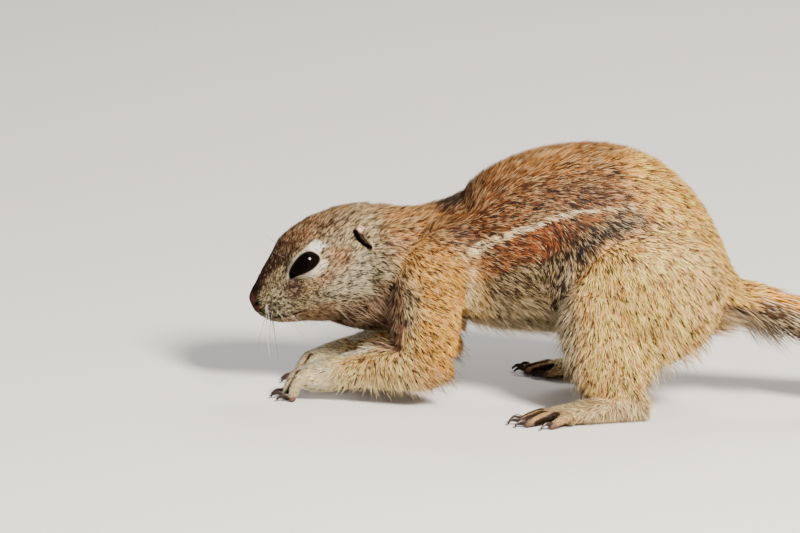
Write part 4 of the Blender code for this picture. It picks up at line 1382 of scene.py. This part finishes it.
def make_eye(name, side, finish, node):
    """A dark wet ball with the cornea's slight bulge, the iris hardly paler than the pupil."""
    form = bmesh.new()
    bmesh.ops.create_uvsphere(form, u_segments=96, v_segments=64, radius=EYE_RADIUS)
    obj = object_from(form, name)
    points = coordinates(obj.data)
    axis = unit(np.array([-0.30, side * 0.92, 0.26]))
    angle = np.degrees(np.arccos(np.clip(unit(points) @ axis, -1, 1)))
    grain = 1 + 0.25 * waves(unit(points) * 10, 1.3, 3)
    colour = np.tile([6.0, 4, 4], (len(points), 1))
    colour = mixed(colour, np.array([13.0, 8, 6]) * grain[:, None], ramp(angle, *PUPIL_EDGE))
    colour_vertices(obj.data, linear(mixed(colour, (8, 5, 4), ramp(angle, *IRIS_EDGE))))
    points *= 1 + CORNEA_BULGE * fall(angle, 20, 48)[:, None]
    move_vertices(obj.data, put_in_row(points + eye_centre(side)))
    obj.data.shade_smooth()
    obj.data.materials.append(finish)
    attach(obj, "root")
    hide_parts(node)


CLAW_LENGTHS = {"fore": 6.2, "hind": 5.4}


def make_claws(finish):
    """Horn claws, thick at the root and thin at the tip, that rise a little and bend down."""
    for side, kind, _, paths, radii in feet():
        label = "left" if side < 0 else "right"
        for number, path in enumerate(paths, 1):
            ahead = path[-1] - path[0]
            ahead.z = 0.0
            ahead.normalize()
            root = path[-1] + ahead * (radii[-1] - 0.9)
            root.z += 0.55
            stations = []
            for step in range(11):
                share = step / 10
                centre = root + ahead * CLAW_LENGTHS[kind] * (share - 0.12 * share**2)
                centre.z += math.sin(math.pi * share * 0.9) - 1.35 * share**2
                radius = 0.90 * (1 - share) ** 0.6 + 0.12
                stations.append((*centre, radius * 0.62, radius))
            form = bmesh.new()
            add_limb(form, stations, sides=14, steps=1)
            bmesh.ops.recalc_face_normals(form, faces=form.faces)
            obj = object_from(form, f"claw_{kind}_{label}_{number}_horn")
            points = coordinates(obj.data)
            points[:, 2] = np.maximum(points[:, 2], 0.02)
            move_vertices(obj.data, put_in_row(points))
            obj.data.shade_smooth()
            obj.data.materials.append(finish)
            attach(obj, "root")
            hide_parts(f"claw_{kind}_{label}_{number}")


# --- materials ---


def shader(name, roughness, specular):
    made = bpy.data.materials.new(name)
    made.use_nodes = True
    tree, base = made.node_tree, made.node_tree.nodes["Principled BSDF"]
    fill(tree, base, {"Roughness": roughness, "Specular IOR Level": specular})
    return made, tree, base


def fill(tree, node, sockets):
    """Sets a node's sockets, or joins them to the sockets of others."""
    for key, value in sockets.items():
        if isinstance(value, bpy.types.NodeSocket):
            tree.links.new(value, node.inputs[key])
        else:
            node.inputs[key].default_value = value


def add_node(tree, kind, output, sockets, **settings):
    """A node's output, the node made with the given settings and sockets."""
    node = tree.nodes.new(f"ShaderNode{kind}")
    for key, value in settings.items():
        setattr(node, key, value)
    fill(tree, node, sockets)
    return node.outputs[output]


def add_bump(tree, base, height, strength, distance):
    sockets = {"Strength": strength, "Distance": distance, "Height": height}
    fill(tree, base, {"Normal": add_node(tree, "Bump", "Normal", sockets)})


def painted(name, roughness, specular, scale, spread, bump=0.0):
    """A finish that takes its colour from the mesh, broken by noise, and may have a fine bump."""
    made, tree, base = shader(name, roughness, specular)
    colour = add_node(tree, "Attribute", "Color", {}, attribute_name="coat")
    place = add_node(tree, "TexCoord", "Object", {})
    sockets = {"Scale": scale, "Detail": 4.0, "Vector": place}
    noise = add_node(tree, "TexNoise", "Fac", sockets)
    sockets = {"To Min": 1 - spread, "To Max": 1 + spread, "Value": noise}
    level = add_node(tree, "MapRange", "Result", sockets)
    sockets = {0: colour, "Scale": level}
    scaled = add_node(tree, "VectorMath", "Vector", sockets, operation="SCALE")
    fill(tree, base, {"Base Color": scaled})
    if bump:
        add_bump(tree, base, noise, bump, 0.0003)
    return made


def horn():
    """Dark horn with fine lengthwise streaks."""
    made, tree, base = shader("horn", 0.34, 0.5)
    place = add_node(tree, "TexCoord", "Object", {})
    sockets = {0: place, 1: (0.15, 1.0, 1.0)}
    stretched = add_node(tree, "VectorMath", "Vector", sockets, operation="MULTIPLY")
    streaks = add_node(tree, "TexNoise", "Fac", {"Scale": 900.0, "Vector": stretched})
    tones = add_node(tree, "ValToRGB", "Color", {"Fac": streaks})
    shades = tones.node.color_ramp.elements
    shades[0].color, shades[1].color = (0.018, 0.012, 0.010, 1), (0.055, 0.036, 0.026, 1)
    fill(tree, base, {"Base Color": tones})
    add_bump(tree, base, streaks, 0.3, 0.0001)
    return made


# --- stage, light and camera ---


def make_stage():
    form = bmesh.new()
    bmesh.ops.create_grid(form, x_segments=1, y_segments=1, size=12.0)
    floor = object_from(form, "floor")
    made, tree, base = shader("floor", 0.9, 0.2)
    fill(tree, base, {"Base Color": (0.76, 0.73, 0.69, 1)})
    floor.data.materials.append(made)
    floor.visible_glossy = False
    world = bpy.data.worlds.new("studio")
    world.use_nodes = True
    sky = world.node_tree.nodes["Background"]
    fill(world.node_tree, sky, {"Color": (0.86, 0.90, 1.0, 1), "Strength": 0.36})
    world.cycles_visibility.glossy = False
    bpy.context.scene.world = world
    for name, place, size, power, colour in (  # in metres and watts
        ("key", (0.50, -1.05, 0.95), 0.36, 75.0, (1.0, 0.95, 0.87)),
        ("fill", (-1.1, -0.9, 0.6), 0.9, 6.0, (0.93, 0.96, 1.0)),
        ("rim", (0.25, 1.0, 1.0), 0.6, 12.0, (1.0, 0.96, 0.9)),
    ):
        lamp = bpy.data.lights.new(name, "AREA")
        lamp.shape, lamp.size, lamp.energy, lamp.color = "DISK", size, power, colour
        obj = added(name, lamp)
        obj.location = place
        aim = Vector((-0.05, 0.0, 0.05)) - Vector(place)
        obj.rotation_mode = "QUATERNION"
        obj.rotation_quaternion = aim.to_track_quat("-Z", "Y")
        obj.visible_glossy = name == "key"


CAMERA_LENS, CAMERA_DISTANCE = 337.5, 3.0  # a long lens, in mm, and its distance in metres
CAMERA_ROLL, CAMERA_AIM = math.radians(2), (-39.9, 0.0, 52.39)


def make_camera():
    """From the animal's left side, a little above level and rolled slightly."""
    cos, sin = math.cos(CAMERA_ROLL), math.sin(CAMERA_ROLL)
    right = Vector((1, 0, 0))
    top = Vector((0, math.sin(CAMERA_RISE), math.cos(CAMERA_RISE)))
    back = Vector((0, -math.cos(CAMERA_RISE), math.sin(CAMERA_RISE)))
    lens = bpy.data.cameras.new("camera")
    lens.sensor_width, lens.lens = 36.0, CAMERA_LENS
    lens.clip_start, lens.clip_end = 0.1, 50.0
    obj = added("camera", lens)
    obj.location = Vector(put_in_row(CAMERA_AIM)) + back * CAMERA_DISTANCE
    obj.rotation_mode = "QUATERNION"
    turn = Matrix((right * cos + top * sin, top * cos - right * sin, back)).transposed()
    obj.rotation_quaternion = turn.to_quaternion()
    bpy.context.scene.camera = obj


# --- putting it together ---


HEAD, TRUNK, ARM, LEG, TAIL, FOOT = range(6)


def parts_of(points):
    """Which of the six parts each place belongs to."""
    half = folded(points)

    def nearest(stations):
        best = np.full(len(points), 1e9)
        for x, y, z, wide, high in interpolated(stations, 3):
            gap = distance(half, [x, abs(y), z]) / ((wide + high) / 2)
            best = np.minimum(best, gap)
        return best

    trunk = []
    for top_x, top_z, bottom_x, bottom_z, wide in NECK_SECTIONS[1:6] + TRUNK_SECTIONS[2:]:
        middle = ((top_x + bottom_x) / 2, 0, (top_z + bottom_z) / 2)
        trunk.append((*middle, wide, (top_z - bottom_z) / 2))
    arm, leg = UPPER_ARM_STATIONS + FOREARM_STATIONS, THIGH_STATIONS + SHANK_STATIONS[1:]
    found = np.argmin([nearest(stations) for stations in (trunk, arm, leg)], 0) + TRUNK
    along, up = head_view(points)
    x, out, z = half.T
    found[(along - 0.25 * up < 58) & (x < -46) & (z > 24.5)] = HEAD
    found[x > 106] = TAIL
    paw = (x < -62) & (z < 22) & (found != HEAD)
    foot = (z < 9.5) & (out > 14) & (x > 0) & (x < 64)
    found[paw | foot] = FOOT
    return found


def dress_skin(skin_obj, points):
    colour_vertices(skin_obj.data, paint_skin(points))
    skin_obj.data.materials.clear()
    hide = painted("hide", roughness=0.60, specular=0.12, scale=1500.0, spread=0.22, bump=0.5)
    skin_obj.data.materials.append(hide)
    skin_obj.data.shade_smooth()
    move_vertices(skin_obj.data, put_in_row(points))
    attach(skin_obj, "root")
    flesh = [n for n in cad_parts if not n.startswith(("eye", "claw"))]
    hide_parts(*flesh)


def bare_places(points):
    """The lids, the ear's slit and nub, the nose and the lips, which grow no tufts."""
    along, up = head_view(points)
    out = np.abs(points[:, 1])
    slit, place = line_distance(along, up, EAR_SLIT)
    lip, _ = line_distance(along, up, MOUTH_LINE)
    bare = (opening_distance(points) < 0.4) & (out > EYE_SIDE)
    bare |= (slit < np.interp(place, [0, 0.2, 1], [1.2, 1.6, 0.9])) & (out > EAR_SIDE)
    bare |= (nub_distance(along, up) < 0.9) & (out > EAR_SIDE)
    bare |= (along - 0.12 * up < 2.6) & (up > -6)
    return bare | (lip < 0.45) & (along < 17)


# The lines along which the coat's spots are laid out on the OFBake map.
HEAD_PATH = [head_point(-2, -4), head_point(60, -8)]
TRUNK_PATH = [(-62, 0, 52), (-30, 0, 54), (0, 0, 62), (32, 0, 67), (70, 0, 58), (106, 0, 42)]
ARM_PATH = [(-24, -13, 66), (-29, -21, 42), (-26, -24, 20), (-41, -22, 17), (-62, -17, 12)]
LEG_PATH = [(76, -13, 62), (54, -23, 53), (38, -28, 40), (42, -31, 27), (50, -31, 6)]
FEET_PATH = [(-84, 0, 10), (60, 0, 6)]


def grow_coat(skin, finish):
    """The coat's pieces. A row gives the name, the path, where it grows, how many tufts, their
    width and the seed, and for some how much longer, more lifted and paler they are."""
    centre = skin.centres
    parts = parts_of(centre)
    along, up = head_view(centre)
    x, y, z = centre.T
    turned_x, _, turned_z = skin.normals[skin.corners].mean(1).T
    head, trunk, arm, leg = (parts == part for part in (HEAD, TRUNK, ARM, LEG))
    furred = head & ~bare_places(centre)
    # more and smaller tufts towards the nose
    face = (furred & (along < 24)) * (1 + 1.2 * fall(along, 6, 34))
    rows = [
        ("coat_face", HEAD_PATH, face, 25000, 0.19, 1),
        ("coat_head", HEAD_PATH, furred & (along >= 24), 34000, 0.21, 2, 0.95, 2),
    ]
    for side, label in ((-1, "left"), (1, "right")):
        own = y * side > 0
        arm_path = on_side(ARM_PATH, side, RIGHT_FORE_SHIFT)
        leg_path = on_side(LEG_PATH, side, RIGHT_HIND_SHIFT)
        rows += [
            (f"coat_trunk_{label}", TRUNK_PATH, own & trunk, 49000, 0.19, 3 + side, 0.80, 2),
            (f"coat_arm_{label}", arm_path, own & arm, 24000, 0.18, 13 + side, 0.84, 2),
            (f"coat_leg_{label}", leg_path, own & leg, 36000, 0.19, 23 + side, 0.86, 1),
        ]
    paws = (parts == FOOT) & (z > 1.6)
    for path in digits_of_feet():
        paws &= distance(centre, path[-1]) > 1.9
    edges = (turned_x < -0.35) & (z < 60) | (turned_x > 0.3) & (z < 38) | (turned_z < -0.25)
    fringe = leg * edges * ramp(z, 6, 9)
    fringe += arm * (turned_z < -0.25) * (x < -6) * (z > 4)
    fringe += arm * (np.hypot(x + 46, z - 25) < 6)
    fringe += trunk * (turned_z < -0.4) * ((x > -20) & (z < 37) | (x > 84))
    fringe += head * blob(along, up, (34, -26), (16, 6)) * (turned_z < -0.1)
    under = ~head & (x > 80) & (x < 108) & (z < 46) & (np.abs(y) < 15)
    under = under * ramp(-turned_z, 0.0, 0.5)
    rows += [
        ("coat_feet", FEET_PATH, paws, 16000, 0.16, 33),
        ("coat_fringe", TRUNK_PATH, fringe, 7000, 0.12, 61, 1.45, 9, 0.45),
        ("coat_under_tail", TRUNK_PATH, under, 1500, 0.14, 67, 2.6, 14, 0.55),
    ]
    for row in rows:
        grow(skin, finish, *row)


def main():
    skin_obj = make_skin()
    skin = Skin(skin_obj)
    dress_skin(skin_obj, skin.points)
    wet = painted("eye_surface", roughness=0.05, specular=0.2, scale=900.0, spread=0.05)
    wet.node_tree.nodes["Principled BSDF"].inputs["IOR"].default_value = 1.34
    for side, label in ((-1, "left"), (1, "right")):
        make_eye(f"eyeball_{label}", side, wet, f"eye_{label}")
    make_claws(horn())
    coat = painted("coat", roughness=0.62, specular=0.22, scale=420.0, spread=0.12)
    grow_coat(skin, coat)
    grow_tail("coat_tail", coat, count=12000, seed=43, start=97.0, end=294.0)
    make_whiskers(coat, skin)
    make_stage()
    make_camera()


main()
